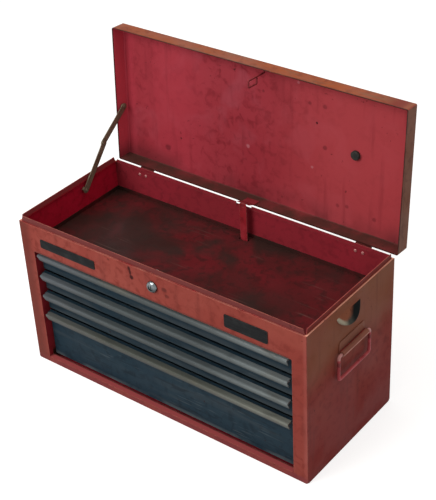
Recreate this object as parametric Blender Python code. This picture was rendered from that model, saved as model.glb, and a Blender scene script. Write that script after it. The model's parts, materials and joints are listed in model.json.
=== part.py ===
"""Steel tool chest: a sheet-metal case with a hinged lid, four drawers, side handles and a lock."""

import math

import bmesh
import bpy
from mathutils import Matrix, Vector

# Case, in metres: origin at the centre of its underside, front towards -Y
CASE_WIDTH = 0.660
CASE_DEPTH = 0.280
CASE_HEIGHT = 0.328  # up to the ledge under the lid
SHEET = 0.0012
GAP = 0.0003  # between pieces that touch
FOOT_RADIUS = 0.004  # lower corners of the wall sheets
LEDGE = 0.003  # the walls step in this far below the rim
RIM_HEIGHT = 0.011
RIM_STOP = 0.005  # the rim ends this far from a corner
RIM_SLOPE = 0.003
BACK_RIM_HEIGHT = 0.006
BACK_RIM_NOTCH = 0.018  # half the gap in it, around the tongue of the lid
PAN_FLANGE = 0.011
EDGE_ROUND = 0.0005

# Front opening
POST_WIDTH = 0.030
OPENING_BOTTOM = 0.0125
OPENING_TOP = 0.268
JAMB_DEPTH = 0.022
SILL_DEPTH = 0.012
HEAD_DEPTH = 0.024

# Till above the drawers
TILL_LEVEL = 0.2595
TILL_LIP = 0.0095
TILL_FRONT = 0.025  # its front lip lies this far behind the face

# Half-moon scoop pressed out of the right wall: flush at its chord, proud at its round rim
SCOOP_Y = -0.0118
SCOOP_CHORD = 0.3098
SCOOP_HALF_CHORD = 0.0388
SCOOP_DEPTH = 0.0275
SCOOP_RISE = 0.0145  # in the middle of the rim
# From the foot of the rim to the face: inset, and share of the rise
SCOOP_RIM = ((0.0, 0.5), (0.0010, 0.8), (0.0025, 0.94), (0.0050, 1.0))

# Drawers, from the top down
DRAWER_TOPS = (0.263, 0.216, 0.169, 0.122)
DRAWER_BOTTOMS = (0.2215, 0.1745, 0.1275, 0.0140)
FRONT_RECESS = 0.016
FRONT_WIDTH = 0.594
TRAY_WIDTH = 0.581
TRAY_BACK = 0.118
TRAY_FLOOR_RISE = 0.0015
TRAY_WALL_DROP = 0.009
TRAY_NOTCH_DROP = 0.021
TRAY_NOTCH_WIDTH = 0.050
GRIP_FLANGE = 0.0088
GRIP_FLANGE_WIDTH = 0.590
PULL_LENGTH = 0.582

# Pull section: distance in front of the drawer front, height from the drawer top
PULL_SECTION = (
    (0.0070, 0.0015),
    (0.0165, 0.0010),
    (0.0184, 0.0002),
    (0.0190, -0.0016),
    (0.0129, -0.0146),
    (0.0123, -0.0150),
    (0.0112, -0.0147),
    (0.0109, -0.0139),
    (0.0162, -0.0043),
    (0.0150, -0.0027),
    (0.0070, -0.0027),
    (0.0070, -0.0015),
    (0.0092, -0.0015),
    (0.0092, 0.0003),
    (0.0070, 0.0003),
)

# Drawer slides
SLIDE_DROP = 0.026  # from the drawer top to the slide's centre line
RAIL_HEIGHT = 0.020
RAIL_WEB = 0.3015
RAIL_LIP = 0.2935
RAIL_FRONT = -0.1175
RAIL_TAB_FRONT = -0.126
RAIL_BACK = 0.132
RUNNER_HEIGHT = 0.016
RUNNER_WEB = 0.2908
RUNNER_EDGE = 0.2995
RUNNER_FRONT = -0.1165
RUNNER_BACK = 0.1175
UPRIGHT_WEB = 0.3032
UPRIGHT_FRONT = 0.106
UPRIGHT_BACK = 0.134
UPRIGHT_FOOT = 0.013

# Lid, drawn shut and then swung open
LID_CLEARANCE = 0.001
LID_HEIGHT = 0.0335
LID_OVERHANG = 0.004
LID_BEND = 0.003
LID_OPEN = math.radians(93.25)

# Hinges
PIN_Y = 0.144
PIN_Z = 0.322
HINGE_X = 0.257
HINGE_WIDTH = 0.034
BARREL_RADIUS = 0.0034
BORE_RADIUS = 0.0019
PIN_RADIUS = 0.0016
KNUCKLE = 0.0136  # length of the middle knuckle
KNUCKLE_GAP = 0.0004
CASE_LEAF_DROP = 0.0185
LID_LEAF_TOP = 0.026
LEAF_CRANK = 0.006
CORNER_CLEARANCE = 0.0006

# Lock
LOCK_Z = 0.3017
BEZEL_RADIUS = 0.0115
BEZEL_RISE = 0.0060
BEZEL_DOME = ((1.0, 0.33), (0.93, 0.65), (0.78, 0.9))  # shares of its radius and rise
LOCK_BODY_RADIUS = 0.0082
LOCK_HOLE_RADIUS = 0.0086
LOCK_BODY_BACK = -0.1255
PLUG_RADIUS = 0.0056
PLUG_BORE = 0.0060
PLUG_FACE = -0.1452
KEYWAY_WIDTH = 0.0014
KEYWAY_HEIGHT = 0.0076
KEYWAY_DEPTH = 0.004
NUT_RADIUS = 0.0125
NUT_SIDES = 6
NUT_THICKNESS = 0.004
CAM_FRONT = -0.1245
CAM_THICKNESS = 0.0015
CAM_WIDTH = 0.007
CAM_LENGTH = 0.0265
CAM_ROOT = 0.0060
CAM_ROOT_ROUND = 0.0031
CAM_TIP_ROUND = 0.0018

# Catch loop that hangs from the lid
CATCH_X = (0.0222, 0.0248)
CATCH_BAR = 0.0025
CATCH_FRONT = -0.1325
CATCH_BACK = -0.1165
CATCH_BOTTOM = 0.2950
CATCH_LOOP_TOP = 0.3225
CATCH_ROUND = 0.003
CATCH_ARM = 0.3435  # underside of the arm that reaches over the rim
CATCH_TAB_X = (0.0175, 0.0295)
CATCH_TAB_BOTTOM = 0.3425
CATCH_TAB_TOP = 0.3570

# Buffer on the inside of the lid
BUFFER_X = 0.215
BUFFER_Y = -0.014
BUFFER_RADIUS = 0.009
BUFFER_HEIGHT = 0.006
BUFFER_DOME = 0.0015

# Folding lid stay at the left: pivots in the plane across the hinge
STAY_LID_Y = 0.0273
STAY_LID_Z = 0.345
STAY_ELBOW_Y = 0.103
STAY_ELBOW_Z = 0.386
STAY_CASE_Y = 0.0383
STAY_CASE_Z = 0.3098
STAY_WIDTH = 0.0135
STAY_UPPER_X = (-0.3240, -0.3225)
STAY_LOWER_X = (-0.3218, -0.3203)
STAY_HOLE_RADIUS = 0.0028
STAY_SHANK_RADIUS = 0.0025
STAY_BASE_RADIUS = 0.0046
STAY_HEAD_RADIUS = 0.0044
STAY_HEAD_HEIGHT = 0.0012

# Drawer lock bar behind the drawers, and the tongue of the lid above it
BAR_X = 0.006
BAR_WIDTH = 0.016
BAR_FRONT = 0.1245
BAR_THICKNESS = 0.0015
BAR_TOP = 0.3415
BAR_BOTTOM = 0.032
BAR_EYE_RADIUS = 0.0026
BAR_EYE_DROP = 0.0055
HOOK_FRONT = 0.1130
HOOK_TOP_DROP = 0.0050
HOOK_TIP_DROP = 0.0125
GUIDE_LEVELS = (0.222, 0.060)  # clear of the hooks all the way down
GUIDE_HEIGHT = 0.010
GUIDE_CLEARANCE = 0.001
GUIDE_FOOT = 0.010
TILL_SLOT_MARGIN = 0.003
TONGUE_STRIP_WIDTH = 0.028
TONGUE_STRIP = (
    (0.1385, 0.3450),
    (0.1373, 0.3450),
    (0.1373, 0.3290),
    (0.1305, 0.3115),
    (0.1316, 0.3110),
    (0.1385, 0.3286),
)

# Name plates, left bare: low and high corner on the front face
BADGE_LEFT = ((-0.278, 0.285), (-0.140, 0.304))
BADGE_RIGHT = ((0.160, 0.280), (0.252, 0.307))
BADGE_THICKNESS = 0.0010
BADGE_CORNER = 0.003

# Side handles
HANDLE_Y = -0.001
HANDLE_Z = 0.2314
HANDLE_OFFSET = 0.0064  # from the wall to the bail's axis
BRACKET_WIDTH = 0.082
BRACKET_RADIUS = 0.0054
BRACKET_BORE = 0.0038
BRACKET_PLATE = 0.0014
BRACKET_RISE = 0.022
BRACKET_CORNER = 0.006
BAIL_RADIUS = 0.0030
BAIL_WIDTH = 0.0995
BAIL_DROP = 0.051
BAIL_BEND = 0.005
BAIL_SHOULDER = 0.0054  # bend beside the bracket
BAIL_END = 0.012  # length of each end inside the bracket

ROUND_SIDES = 24
SMALL_SIDES = 16
ROD_SIDES = 10
CORNER_STEPS = 4
SMOOTH_ANGLE = math.radians(40)

FRONT = -CASE_DEPTH / 2
BACK = CASE_DEPTH / 2
SIDE = CASE_WIDTH / 2
OPENING_SIDE = SIDE - POST_WIDTH
WALL_IN = SHEET + GAP
LID_LOW = CASE_HEIGHT + LID_CLEARANCE
LID_HIGH = LID_LOW + LID_HEIGHT
DRAWER_FACE = FRONT + FRONT_RECESS

# Finishes: sRGB colour, roughness, metallic
FINISHES = {
    "red_paint": ((140, 62, 56), 0.45, 0.0),
    "lid_paint": ((140, 45, 50), 0.45, 0.0),
    "blue_paint": ((48, 66, 80), 0.5, 0.0),
    "bright_trim": ((132, 136, 132), 0.4, 0.9),
    "zinc": ((128, 124, 116), 0.45, 0.9),
    "chrome": ((205, 205, 205), 0.12, 1.0),
    "dark_steel": ((66, 60, 55), 0.5, 0.8),
    "black_plate": ((26, 25, 27), 0.5, 0.0),
    "rubber": ((30, 28, 28), 0.8, 0.0),
    "handle_paint": ((150, 66, 66), 0.45, 0.0),
}


def linear(channel):
    """One 8-bit sRGB channel as a linear value."""
    value = channel / 255
    return value / 12.92 if value <= 0.04045 else ((value + 0.055) / 1.055) ** 2.4


def make_material(name, colour, roughness, metallic):
    material = bpy.data.materials.new(name)
    material.use_nodes = True
    shader = material.node_tree.nodes["Principled BSDF"]
    shader.inputs["Base Color"].default_value = (*(linear(c) for c in colour), 1.0)
    shader.inputs["Roughness"].default_value = roughness
    shader.inputs["Metallic"].default_value = metallic
    return material


def skinned(rings):
    """A closed solid over rings with as many points each; the first and the last are flat ends."""
    form = bmesh.new()
    rows = [[form.verts.new(point) for point in ring] for ring in rings]
    form.faces.new(rows[0])
    form.faces.new(rows[-1])
    for low, high in zip(rows, rows[1:]):
        for i in range(len(low)):
            j = (i + 1) % len(low)
            form.faces.new((low[i], low[j], high[j], high[i]))
    bmesh.ops.recalc_face_normals(form, faces=form.faces)
    return form


def extrude(outline, low, high, axis):
    """A solid with this outline across the axis, from low to high along it."""
    place = {
        "X": lambda u, v, level: (level, u, v),
        "Y": lambda u, v, level: (u, level, v),
        "Z": lambda u, v, level: (u, v, level),
    }[axis]
    return skinned([[place(u, v, level) for u, v in outline] for level in (low, high)])


def block(x, y, z):
    """A box between these (low, high) pairs."""
    outline = ((x[0], y[0]), (x[1], y[0]), (x[1], y[1]), (x[0], y[1]))
    return extrude(outline, z[0], z[1], "Z")


def rounded(low, high, radii):
    """A rectangle with a corner radius each: low left, low right, high right, high left."""
    corners = ((low[0], low[1]), (high[0], low[1]), (high[0], high[1]), (low[0], high[1]))
    inward = ((1, 1), (-1, 1), (-1, -1), (1, -1))
    outline = []
    for index, ((u, v), (du, dv), radius) in enumerate(zip(corners, inward, radii)):
        if radius == 0:
            outline.append((u, v))
            continue
        centre = (u + du * radius, v + dv * radius)
        start = math.pi + index * math.pi / 2
        for step in range(CORNER_STEPS + 1):
            angle = start + step * math.pi / 2 / CORNER_STEPS
            outline.append((centre[0] + radius * math.cos(angle), centre[1] + radius * math.sin(angle)))
    return outline


def circle(centre, radius, sides):
    """A round outline whose flats touch the radius from outside on average."""
    turn = 2 * math.pi / sides
    return [
        (centre[0] + radius * math.cos((i + 0.5) * turn), centre[1] + radius * math.sin((i + 0.5) * turn))
        for i in range(sides)
    ]


def turned(profile, centre, axis, sides):
    """A solid turned from (radius, level) pairs about an axis through the centre."""
    place = {
        "X": lambda a, b, level: (level, centre[0] + a, centre[1] + b),
        "Y": lambda a, b, level: (centre[0] + a, level, centre[1] + b),
        "Z": lambda a, b, level: (centre[0] + a, centre[1] + b, level),
    }[axis]
    form = bmesh.new()
    rings = []
    for radius, level in profile:
        if radius == 0:
            rings.append([form.verts.new(place(0, 0, level))])
            continue
        turn = 2 * math.pi / sides
        rings.append(
            [
                form.verts.new(place(radius * math.cos(i * turn), radius * math.sin(i * turn), level))
                for i in range(sides)
            ]
        )
    pairs = list(zip(rings, rings[1:]))
    if len(rings[0]) > 1:
        pairs.append((rings[-1], rings[0]))
    for first, second in pairs:
        for i in range(sides):
            j = (i + 1) % sides
            ends = [(first, i), (first, j), (second, j), (second, i)]
            corners = [ring[k % len(ring)] for ring, k in ends]
            form.faces.new(list(dict.fromkeys(corners)))
    bmesh.ops.recalc_face_normals(form, faces=form.faces)
    return form


def swept(path, radius, normal, sides):
    """A round rod along a flat path, with its cross sections mitred at each bend."""
    points = [Vector(p) for p in path]
    normal = Vector(normal)
    form = bmesh.new()
    rings = []
    for i, point in enumerate(points):
        before = (point - points[max(i - 1, 0)]).normalized()
        after = (points[min(i + 1, len(points) - 1)] - point).normalized()
        along = (before + after).normalized()
        across = along.cross(normal)
        half = math.cos(before.angle(after) / 2) if before.length and after.length else 1
        ring = []
        for k in range(sides):
            angle = 2 * math.pi * k / sides
            offset = normal * math.cos(angle) + across * (math.sin(angle) / half)
            ring.append(form.verts.new(point + offset * radius))
        rings.append(ring)
    for first, second in zip(rings, rings[1:]):
        for i in range(sides):
            j = (i + 1) % sides
            form.faces.new((first[i], first[j], second[j], second[i]))
    form.faces.new(rings[0])
    form.faces.new(rings[-1])
    bmesh.ops.recalc_face_normals(form, faces=form.faces)
    return form


def loose_object(form):
    mesh = bpy.data.meshes.new("form")
    form.to_mesh(mesh)
    form.free()
    loose = bpy.data.objects.new("form", mesh)
    bpy.context.scene.collection.objects.link(loose)
    return loose


def combined(form, others, operation):
    """The form with each other form joined to it (UNION) or cut from it (DIFFERENCE)."""
    base = loose_object(form)
    tools = [loose_object(other) for other in others]
    for tool in tools:
        modifier = base.modifiers.new("combine", "BOOLEAN")
        modifier.operation = operation
        modifier.solver = "EXACT"
        modifier.object = tool
    graph = bpy.context.evaluated_depsgraph_get()
    result = bmesh.new()
    result.from_object(base, graph)
    for loose in (base, *tools):
        mesh = loose.data
        bpy.data.objects.remove(loose)
        bpy.data.meshes.remove(mesh)
    bmesh.ops.dissolve_limit(
        result, angle_limit=math.radians(0.1), verts=result.verts, edges=result.edges
    )
    return result


def joined(form, *others):
    return combined(form, others, "UNION")


def cut(form, *others):
    return combined(form, others, "DIFFERENCE")


def soften(form, chosen, radius=EDGE_ROUND, segments=2):
    """Round the edges picked out by their two end points."""
    edges = [e for e in form.edges if chosen(e.verts[0].co, e.verts[1].co)]
    bmesh.ops.bevel(
        form,
        geom=edges,
        offset=radius,
        offset_type="OFFSET",
        segments=segments,
        profile=0.5,
        affect="EDGES",
    )


def mirrored(form):
    """The same form on the other side of the chest."""
    bmesh.ops.scale(form, vec=(-1, 1, 1), verts=form.verts)
    bmesh.ops.reverse_faces(form, faces=form.faces)
    return form


def make_axis(name, place, tilt=0.0):
    """An empty on a joint's axis that carries the pieces of one moving body."""
    axis = bpy.data.objects.new(name, None)
    axis.location = place
    axis.rotation_euler = (tilt, 0, 0)
    bpy.context.scene.collection.objects.link(axis)
    return axis


def add(name, form, finish, axis=None):
    """A named piece, drawn where it stands, with its finish and the axis that carries it."""
    mesh = bpy.data.meshes.new(name)
    form.to_mesh(mesh)
    form.free()
    mesh.materials.append(MATERIALS[finish])
    for polygon in mesh.polygons:
        polygon.use_smooth = True
    mesh.set_sharp_from_angle(angle=SMOOTH_ANGLE)
    piece = bpy.data.objects.new(name, mesh)
    bpy.context.scene.collection.objects.link(piece)
    if axis:
        mesh.transform(Matrix.Translation(-axis.location))
        piece.parent = axis
    return piece


def rim_outline(half, root, top):
    """The long face of a rim that is centred on the chest, with sloping ends."""
    return ((-half, root), (half, root), (half - RIM_SLOPE, top), (-half + RIM_SLOPE, top))


def make_walls():
    """The welded case: front frame, side walls, back, bottom pan and till floor."""
    face = extrude(
        rounded((-SIDE, 0), (SIDE, CASE_HEIGHT), (FOOT_RADIUS, FOOT_RADIUS, 0, 0)), FRONT, FRONT + SHEET, "Y"
    )
    opening = block(
        (-OPENING_SIDE, OPENING_SIDE), (FRONT - SHEET, FRONT + 2 * SHEET), (OPENING_BOTTOM, OPENING_TOP)
    )
    lock_hole = extrude(
        circle((0, LOCK_Z), LOCK_HOLE_RADIUS, ROUND_SIDES), FRONT - SHEET, FRONT + 2 * SHEET, "Y"
    )
    face = cut(face, opening, lock_hole)
    ledge_side = SIDE - LEDGE - SHEET - GAP
    rim_back = FRONT + LEDGE + SHEET
    ledge = block((-ledge_side, ledge_side), (FRONT, rim_back), (CASE_HEIGHT - SHEET, CASE_HEIGHT))
    rim_half = SIDE - RIM_STOP
    outline = rim_outline(rim_half, CASE_HEIGHT - SHEET, CASE_HEIGHT + RIM_HEIGHT)
    rim = extrude(outline, FRONT + LEDGE, rim_back, "Y")
    jambs = [
        block(
            sorted((hand * OPENING_SIDE, hand * (OPENING_SIDE + SHEET))),
            (FRONT, FRONT + JAMB_DEPTH),
            (OPENING_BOTTOM - SHEET, OPENING_TOP + SHEET),
        )
        for hand in (-1, 1)
    ]
    span = (-OPENING_SIDE - SHEET, OPENING_SIDE + SHEET)
    inside = (-SIDE + WALL_IN, SIDE - WALL_IN)
    sill = block(span, (FRONT, FRONT + SILL_DEPTH), (OPENING_BOTTOM - SHEET, OPENING_BOTTOM))
    head = block(inside, (FRONT + SHEET / 2, FRONT + HEAD_DEPTH), (OPENING_TOP, OPENING_TOP + SHEET))
    frame = joined(face, ledge, rim, *jambs, sill, head)
    soften(frame, lambda a, b: min(abs(a.x), abs(b.x)) > SIDE - GAP and a.y + b.y < 2 * FRONT + GAP)
    add("front_frame", frame, "red_paint")

    for name, hand in (("left_side_panel", -1), ("right_side_panel", 1)):
        wall = make_side_wall(hand > 0)
        add(name, wall if hand > 0 else mirrored(wall), "red_paint")

    back_top = CASE_HEIGHT - LID_CLEARANCE
    back = extrude(
        rounded((-SIDE, 0), (SIDE, back_top), (FOOT_RADIUS, FOOT_RADIUS, 0, 0)), BACK - SHEET, BACK, "Y"
    )
    rim_front = BACK - LEDGE - SHEET
    ledge = block((-ledge_side, ledge_side), (rim_front, BACK), (back_top - SHEET, back_top))
    outline = rim_outline(rim_half, back_top - SHEET, back_top + BACK_RIM_HEIGHT)
    rim = extrude(outline, rim_front, BACK - LEDGE, "Y")
    notch = block(
        (-BACK_RIM_NOTCH, BACK_RIM_NOTCH),
        (rim_front - SHEET, BACK - SHEET),
        (back_top - 2 * SHEET, back_top + 2 * BACK_RIM_HEIGHT),
    )
    add("back_panel", joined(back, cut(joined(ledge, rim), notch)), "red_paint")

    pan = block((-SIDE + WALL_IN, SIDE - WALL_IN), (FRONT + WALL_IN, BACK - WALL_IN), (0, PAN_FLANGE))
    inner = WALL_IN + SHEET
    hollow = block((-SIDE + inner, SIDE - inner), (FRONT + inner, BACK - inner), (SHEET, 2 * PAN_FLANGE))
    add("bottom_pan", cut(pan, hollow), "red_paint")

    till_front = FRONT + TILL_FRONT
    till = block(
        (-SIDE + WALL_IN, SIDE - WALL_IN),
        (till_front, BACK - WALL_IN),
        (TILL_LEVEL, TILL_LEVEL + TILL_LIP),
    )
    hollow = block(
        (-SIDE + inner, SIDE - inner),
        (till_front + SHEET, BACK - inner),
        (TILL_LEVEL + SHEET, TILL_LEVEL + 2 * TILL_LIP),
    )
    reach = BAR_WIDTH / 2 + TILL_SLOT_MARGIN
    slot = block(
        (BAR_X - reach, BAR_X + reach),
        (BAR_FRONT - TILL_SLOT_MARGIN, BAR_FRONT + BAR_THICKNESS + TILL_SLOT_MARGIN),
        (TILL_LEVEL - SHEET, TILL_LEVEL + 2 * SHEET),
    )
    add("till_floor", cut(till, hollow, slot), "red_paint")


def make_side_wall(with_scoop):
    """The right-hand wall: a sheet with a stepped rim, and the half-moon scoop if it has one."""
    front, back = FRONT + WALL_IN, BACK - WALL_IN
    sheet = extrude(
        rounded((front, 0), (back, CASE_HEIGHT), (FOOT_RADIUS, FOOT_RADIUS, 0, 0)), SIDE - SHEET, SIDE, "X"
    )
    rim_in = SIDE - LEDGE - SHEET
    ledge = block((rim_in, SIDE), (front, back), (CASE_HEIGHT - SHEET, CASE_HEIGHT))
    outline = rim_outline(BACK - RIM_STOP, CASE_HEIGHT - SHEET, CASE_HEIGHT + RIM_HEIGHT)
    rim = extrude(outline, rim_in, SIDE - LEDGE, "X")
    wall = joined(sheet, ledge, rim)
    if with_scoop:
        rings = [[(SIDE - SHEET / 2, y, z) for y, z in half_moon(0, 0)]]
        for inset, share in SCOOP_RIM:
            rings.append(scoop_ring(half_moon(inset, inset / 4), share, SIDE - SHEET / 4))
        hollow = [
            [(SIDE - 2 * SHEET, y, z) for y, z in half_moon(3 / 2 * SHEET, SHEET)],
            scoop_ring(half_moon(inset + SHEET, inset / 4 + SHEET), 1, SIDE - 3 / 2 * SHEET),
        ]
        wall = cut(joined(wall, skinned(rings)), skinned(hollow))
    return wall


def half_moon(inset, drop):
    """The scoop's outline, with its arc taken in and its chord let down by so much."""
    chord = SCOOP_CHORD - drop
    half, depth = SCOOP_HALF_CHORD - inset, SCOOP_DEPTH - inset - drop
    radius = (half**2 + depth**2) / (2 * depth)
    centre = chord - depth + radius
    end = math.asin((chord - centre) / radius)
    turn = (math.pi + 2 * end) / ROUND_SIDES
    angles = [end - i * turn for i in range(ROUND_SIDES + 1)]
    return [(SCOOP_Y + radius * math.cos(a), centre + radius * math.sin(a)) for a in angles]


def scoop_ring(outline, share, level):
    """The outline, lifted off this level the more the lower it lies."""
    slope = share * SCOOP_RISE / SCOOP_DEPTH
    return [(level + slope * (SCOOP_CHORD - z), y, z) for y, z in outline]


def make_slides():
    """Uprights at the back corners and the fixed rail of each drawer, on both sides."""
    for name, hand in (("left", -1), ("right", 1)):
        edge = SIDE - WALL_IN
        section = (
            (edge, UPRIGHT_FRONT),
            (UPRIGHT_WEB, UPRIGHT_FRONT),
            (UPRIGHT_WEB, UPRIGHT_BACK),
            (edge, UPRIGHT_BACK),
            (edge, UPRIGHT_BACK - SHEET),
            (UPRIGHT_WEB + SHEET, UPRIGHT_BACK - SHEET),
            (UPRIGHT_WEB + SHEET, UPRIGHT_FRONT + SHEET),
            (edge, UPRIGHT_FRONT + SHEET),
        )
        upright = extrude(section, UPRIGHT_FOOT, TILL_LEVEL - GAP, "Z")
        add(f"slide_upright_{name}", upright if hand > 0 else mirrored(upright), "zinc")
        for number, top in enumerate(DRAWER_TOPS, 1):
            rail = make_rail(top - SLIDE_DROP)
            add(f"slide_rail_{name}_{number}", rail if hand > 0 else mirrored(rail), "zinc")


def make_rail(level):
    """A channel, open towards the drawer, with a tab that reaches forward beside the jamb."""
    half = RAIL_HEIGHT / 2
    section = (
        (RAIL_WEB + SHEET, level - half),
        (RAIL_WEB + SHEET, level + half),
        (RAIL_LIP, level + half),
        (RAIL_LIP, level + half - SHEET),
        (RAIL_WEB, level + half - SHEET),
        (RAIL_WEB, level - half + SHEET),
        (RAIL_LIP, level - half + SHEET),
        (RAIL_LIP, level - half),
    )
    channel = extrude(section, RAIL_FRONT, RAIL_BACK, "Y")
    tab = block(
        (RAIL_WEB, RAIL_WEB + SHEET),
        (RAIL_TAB_FRONT, RAIL_FRONT + SHEET),
        (level - half + SHEET, level + half - SHEET),
    )
    return joined(channel, tab)


def make_runner(level):
    """The channel on a drawer's side that slides inside a rail."""
    half = RUNNER_HEIGHT / 2
    section = (
        (RUNNER_WEB, level - half),
        (RUNNER_EDGE, level - half),
        (RUNNER_EDGE, level - half + SHEET),
        (RUNNER_WEB + SHEET, level - half + SHEET),
        (RUNNER_WEB + SHEET, level + half - SHEET),
        (RUNNER_EDGE, level + half - SHEET),
        (RUNNER_EDGE, level + half),
        (RUNNER_WEB, level + half),
    )
    return extrude(section, RUNNER_FRONT, RUNNER_BACK, "Y")


def make_drawer(number, top, bottom):
    """One drawer: folded tray, grip along the top of its front, and a runner on each side."""
    axis = make_axis(f"drawer_{number}_axis", (0, DRAWER_FACE, top - SLIDE_DROP))
    floor = bottom + TRAY_FLOOR_RISE
    wall_top = top - TRAY_WALL_DROP
    half = TRAY_WIDTH / 2
    front = block((-FRONT_WIDTH / 2, FRONT_WIDTH / 2), (DRAWER_FACE, DRAWER_FACE + SHEET), (bottom, top))
    grip = block(
        (-GRIP_FLANGE_WIDTH / 2, GRIP_FLANGE_WIDTH / 2),
        (DRAWER_FACE - GRIP_FLANGE, DRAWER_FACE + SHEET),
        (top - SHEET, top),
    )
    shell = block((-half, half), (DRAWER_FACE + SHEET / 2, TRAY_BACK), (floor, wall_top))
    hollow = block(
        (-half + SHEET, half - SHEET),
        (DRAWER_FACE + SHEET, TRAY_BACK - SHEET),
        (floor + SHEET, top - 2 * SHEET),
    )
    notch = block(
        (BAR_X - TRAY_NOTCH_WIDTH / 2, BAR_X + TRAY_NOTCH_WIDTH / 2),
        (TRAY_BACK - 2 * SHEET, TRAY_BACK + SHEET),
        (top - TRAY_NOTCH_DROP, top),
    )
    tray = cut(joined(shell, front, grip), hollow, notch)
    add(f"drawer_{number}_tray", tray, "blue_paint", axis)
    section = [(DRAWER_FACE - out, top + rise) for out, rise in PULL_SECTION]
    pull = extrude(section, -PULL_LENGTH / 2, PULL_LENGTH / 2, "X")
    add(f"drawer_{number}_pull", pull, "bright_trim", axis)
    for name, hand in (("left", -1), ("right", 1)):
        runner = make_runner(top - SLIDE_DROP)
        add(f"drawer_{number}_runner_{name}", runner if hand > 0 else mirrored(runner), "zinc", axis)


def make_lid():
    """The lid and what is fixed to it, drawn shut on an axis that is swung open."""
    axis = make_axis("lid_axis", (0, PIN_Y, PIN_Z), -LID_OPEN)
    front = FRONT - LID_OVERHANG
    shell = block((-SIDE, SIDE), (front, BACK), (LID_LOW, LID_HIGH))
    soften(shell, lambda a, b: max(a.z, b.z) > LID_LOW + GAP, LID_BEND, 3)
    hollow = block(
        (-SIDE + SHEET, SIDE - SHEET), (front + SHEET, BACK - SHEET), (LID_LOW - SHEET, LID_HIGH - SHEET)
    )
    soften(hollow, lambda a, b: max(a.z, b.z) > LID_LOW, LID_BEND - SHEET, 3)
    add("lid_shell", cut(shell, hollow), "lid_paint", axis)
    add("lid_catch", make_catch(front + SHEET + GAP), "lid_paint", axis)

    seat = LID_HIGH - SHEET - GAP
    buffer = turned(
        (
            (0, seat),
            (BUFFER_RADIUS, seat),
            (BUFFER_RADIUS, seat - BUFFER_HEIGHT + BUFFER_DOME),
            (BUFFER_RADIUS - BUFFER_DOME, seat - BUFFER_HEIGHT),
            (0, seat - BUFFER_HEIGHT),
        ),
        (BUFFER_X, BUFFER_Y),
        "Z",
        ROUND_SIDES,
    )
    add("lid_buffer", buffer, "rubber", axis)

    half = TONGUE_STRIP_WIDTH / 2
    add("lid_tongue", extrude(TONGUE_STRIP, -half, half, "X"), "lid_paint", axis)

    wall = -SIDE + WALL_IN
    add("stay_lid_stud", make_stud((STAY_LID_Y, STAY_LID_Z), wall, STAY_UPPER_X), "dark_steel", axis)
    return axis


def make_catch(seat):
    """A loop on an arm that reaches from the seat on the front skirt over the rim of the case."""
    loop = extrude(
        rounded((CATCH_FRONT, CATCH_BOTTOM), (CATCH_BACK, CATCH_LOOP_TOP), [CATCH_ROUND] * 4), *CATCH_X, "X"
    )
    window = extrude(
        rounded(
            (CATCH_FRONT + CATCH_BAR, CATCH_BOTTOM + CATCH_BAR),
            (CATCH_BACK - CATCH_BAR, CATCH_LOOP_TOP - CATCH_BAR),
            [CATCH_BAR / 2] * 4,
        ),
        CATCH_X[0] - SHEET,
        CATCH_X[1] + SHEET,
        "X",
    )
    stem = (CATCH_FRONT, CATCH_FRONT + CATCH_BAR)
    arm = (CATCH_ARM, CATCH_ARM + CATCH_BAR)
    return joined(
        cut(loop, window),
        block(CATCH_X, stem, (CATCH_LOOP_TOP - CATCH_ROUND, arm[1])),
        block(CATCH_X, (seat, stem[1]), arm),
        block(CATCH_TAB_X, (seat, seat + SHEET), (CATCH_TAB_BOTTOM, CATCH_TAB_TOP)),
    )


def make_stud(centre, wall, link):
    """A shouldered rivet on a left-hand wall that carries one link of the stay."""
    shoulder = link[0] - GAP
    head = link[1] + GAP
    return turned(
        (
            (0, wall),
            (STAY_BASE_RADIUS, wall),
            (STAY_BASE_RADIUS, shoulder),
            (STAY_SHANK_RADIUS, shoulder),
            (STAY_SHANK_RADIUS, head),
            (STAY_HEAD_RADIUS, head),
            (STAY_SHANK_RADIUS, head + STAY_HEAD_HEIGHT),
            (0, head + STAY_HEAD_HEIGHT),
        ),
        centre,
        "X",
        SMALL_SIDES,
    )


def swung(y, z):
    """Where a point of the shut lid stands once the lid is open."""
    out, up = y - PIN_Y, z - PIN_Z
    turn = -LID_OPEN
    return (
        PIN_Y + out * math.cos(turn) - up * math.sin(turn),
        PIN_Z + out * math.sin(turn) + up * math.cos(turn),
    )


def make_link(start, end, levels):
    """A flat bar with round ends and a hole at its first pivot."""
    along = math.atan2(end[1] - start[1], end[0] - start[0])
    radius = STAY_WIDTH / 2
    outline = []
    for centre, facing in ((start, along + math.pi), (end, along)):
        for i in range(SMALL_SIDES // 2 + 1):
            angle = facing - math.pi / 2 + math.pi * i / (SMALL_SIDES // 2)
            outline.append((centre[0] + radius * math.cos(angle), centre[1] + radius * math.sin(angle)))
    bar = extrude(outline, levels[0], levels[1], "X")
    hole = extrude(circle(start, STAY_HOLE_RADIUS, SMALL_SIDES), levels[0] - SHEET, levels[1] + SHEET, "X")
    return cut(bar, hole)


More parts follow.
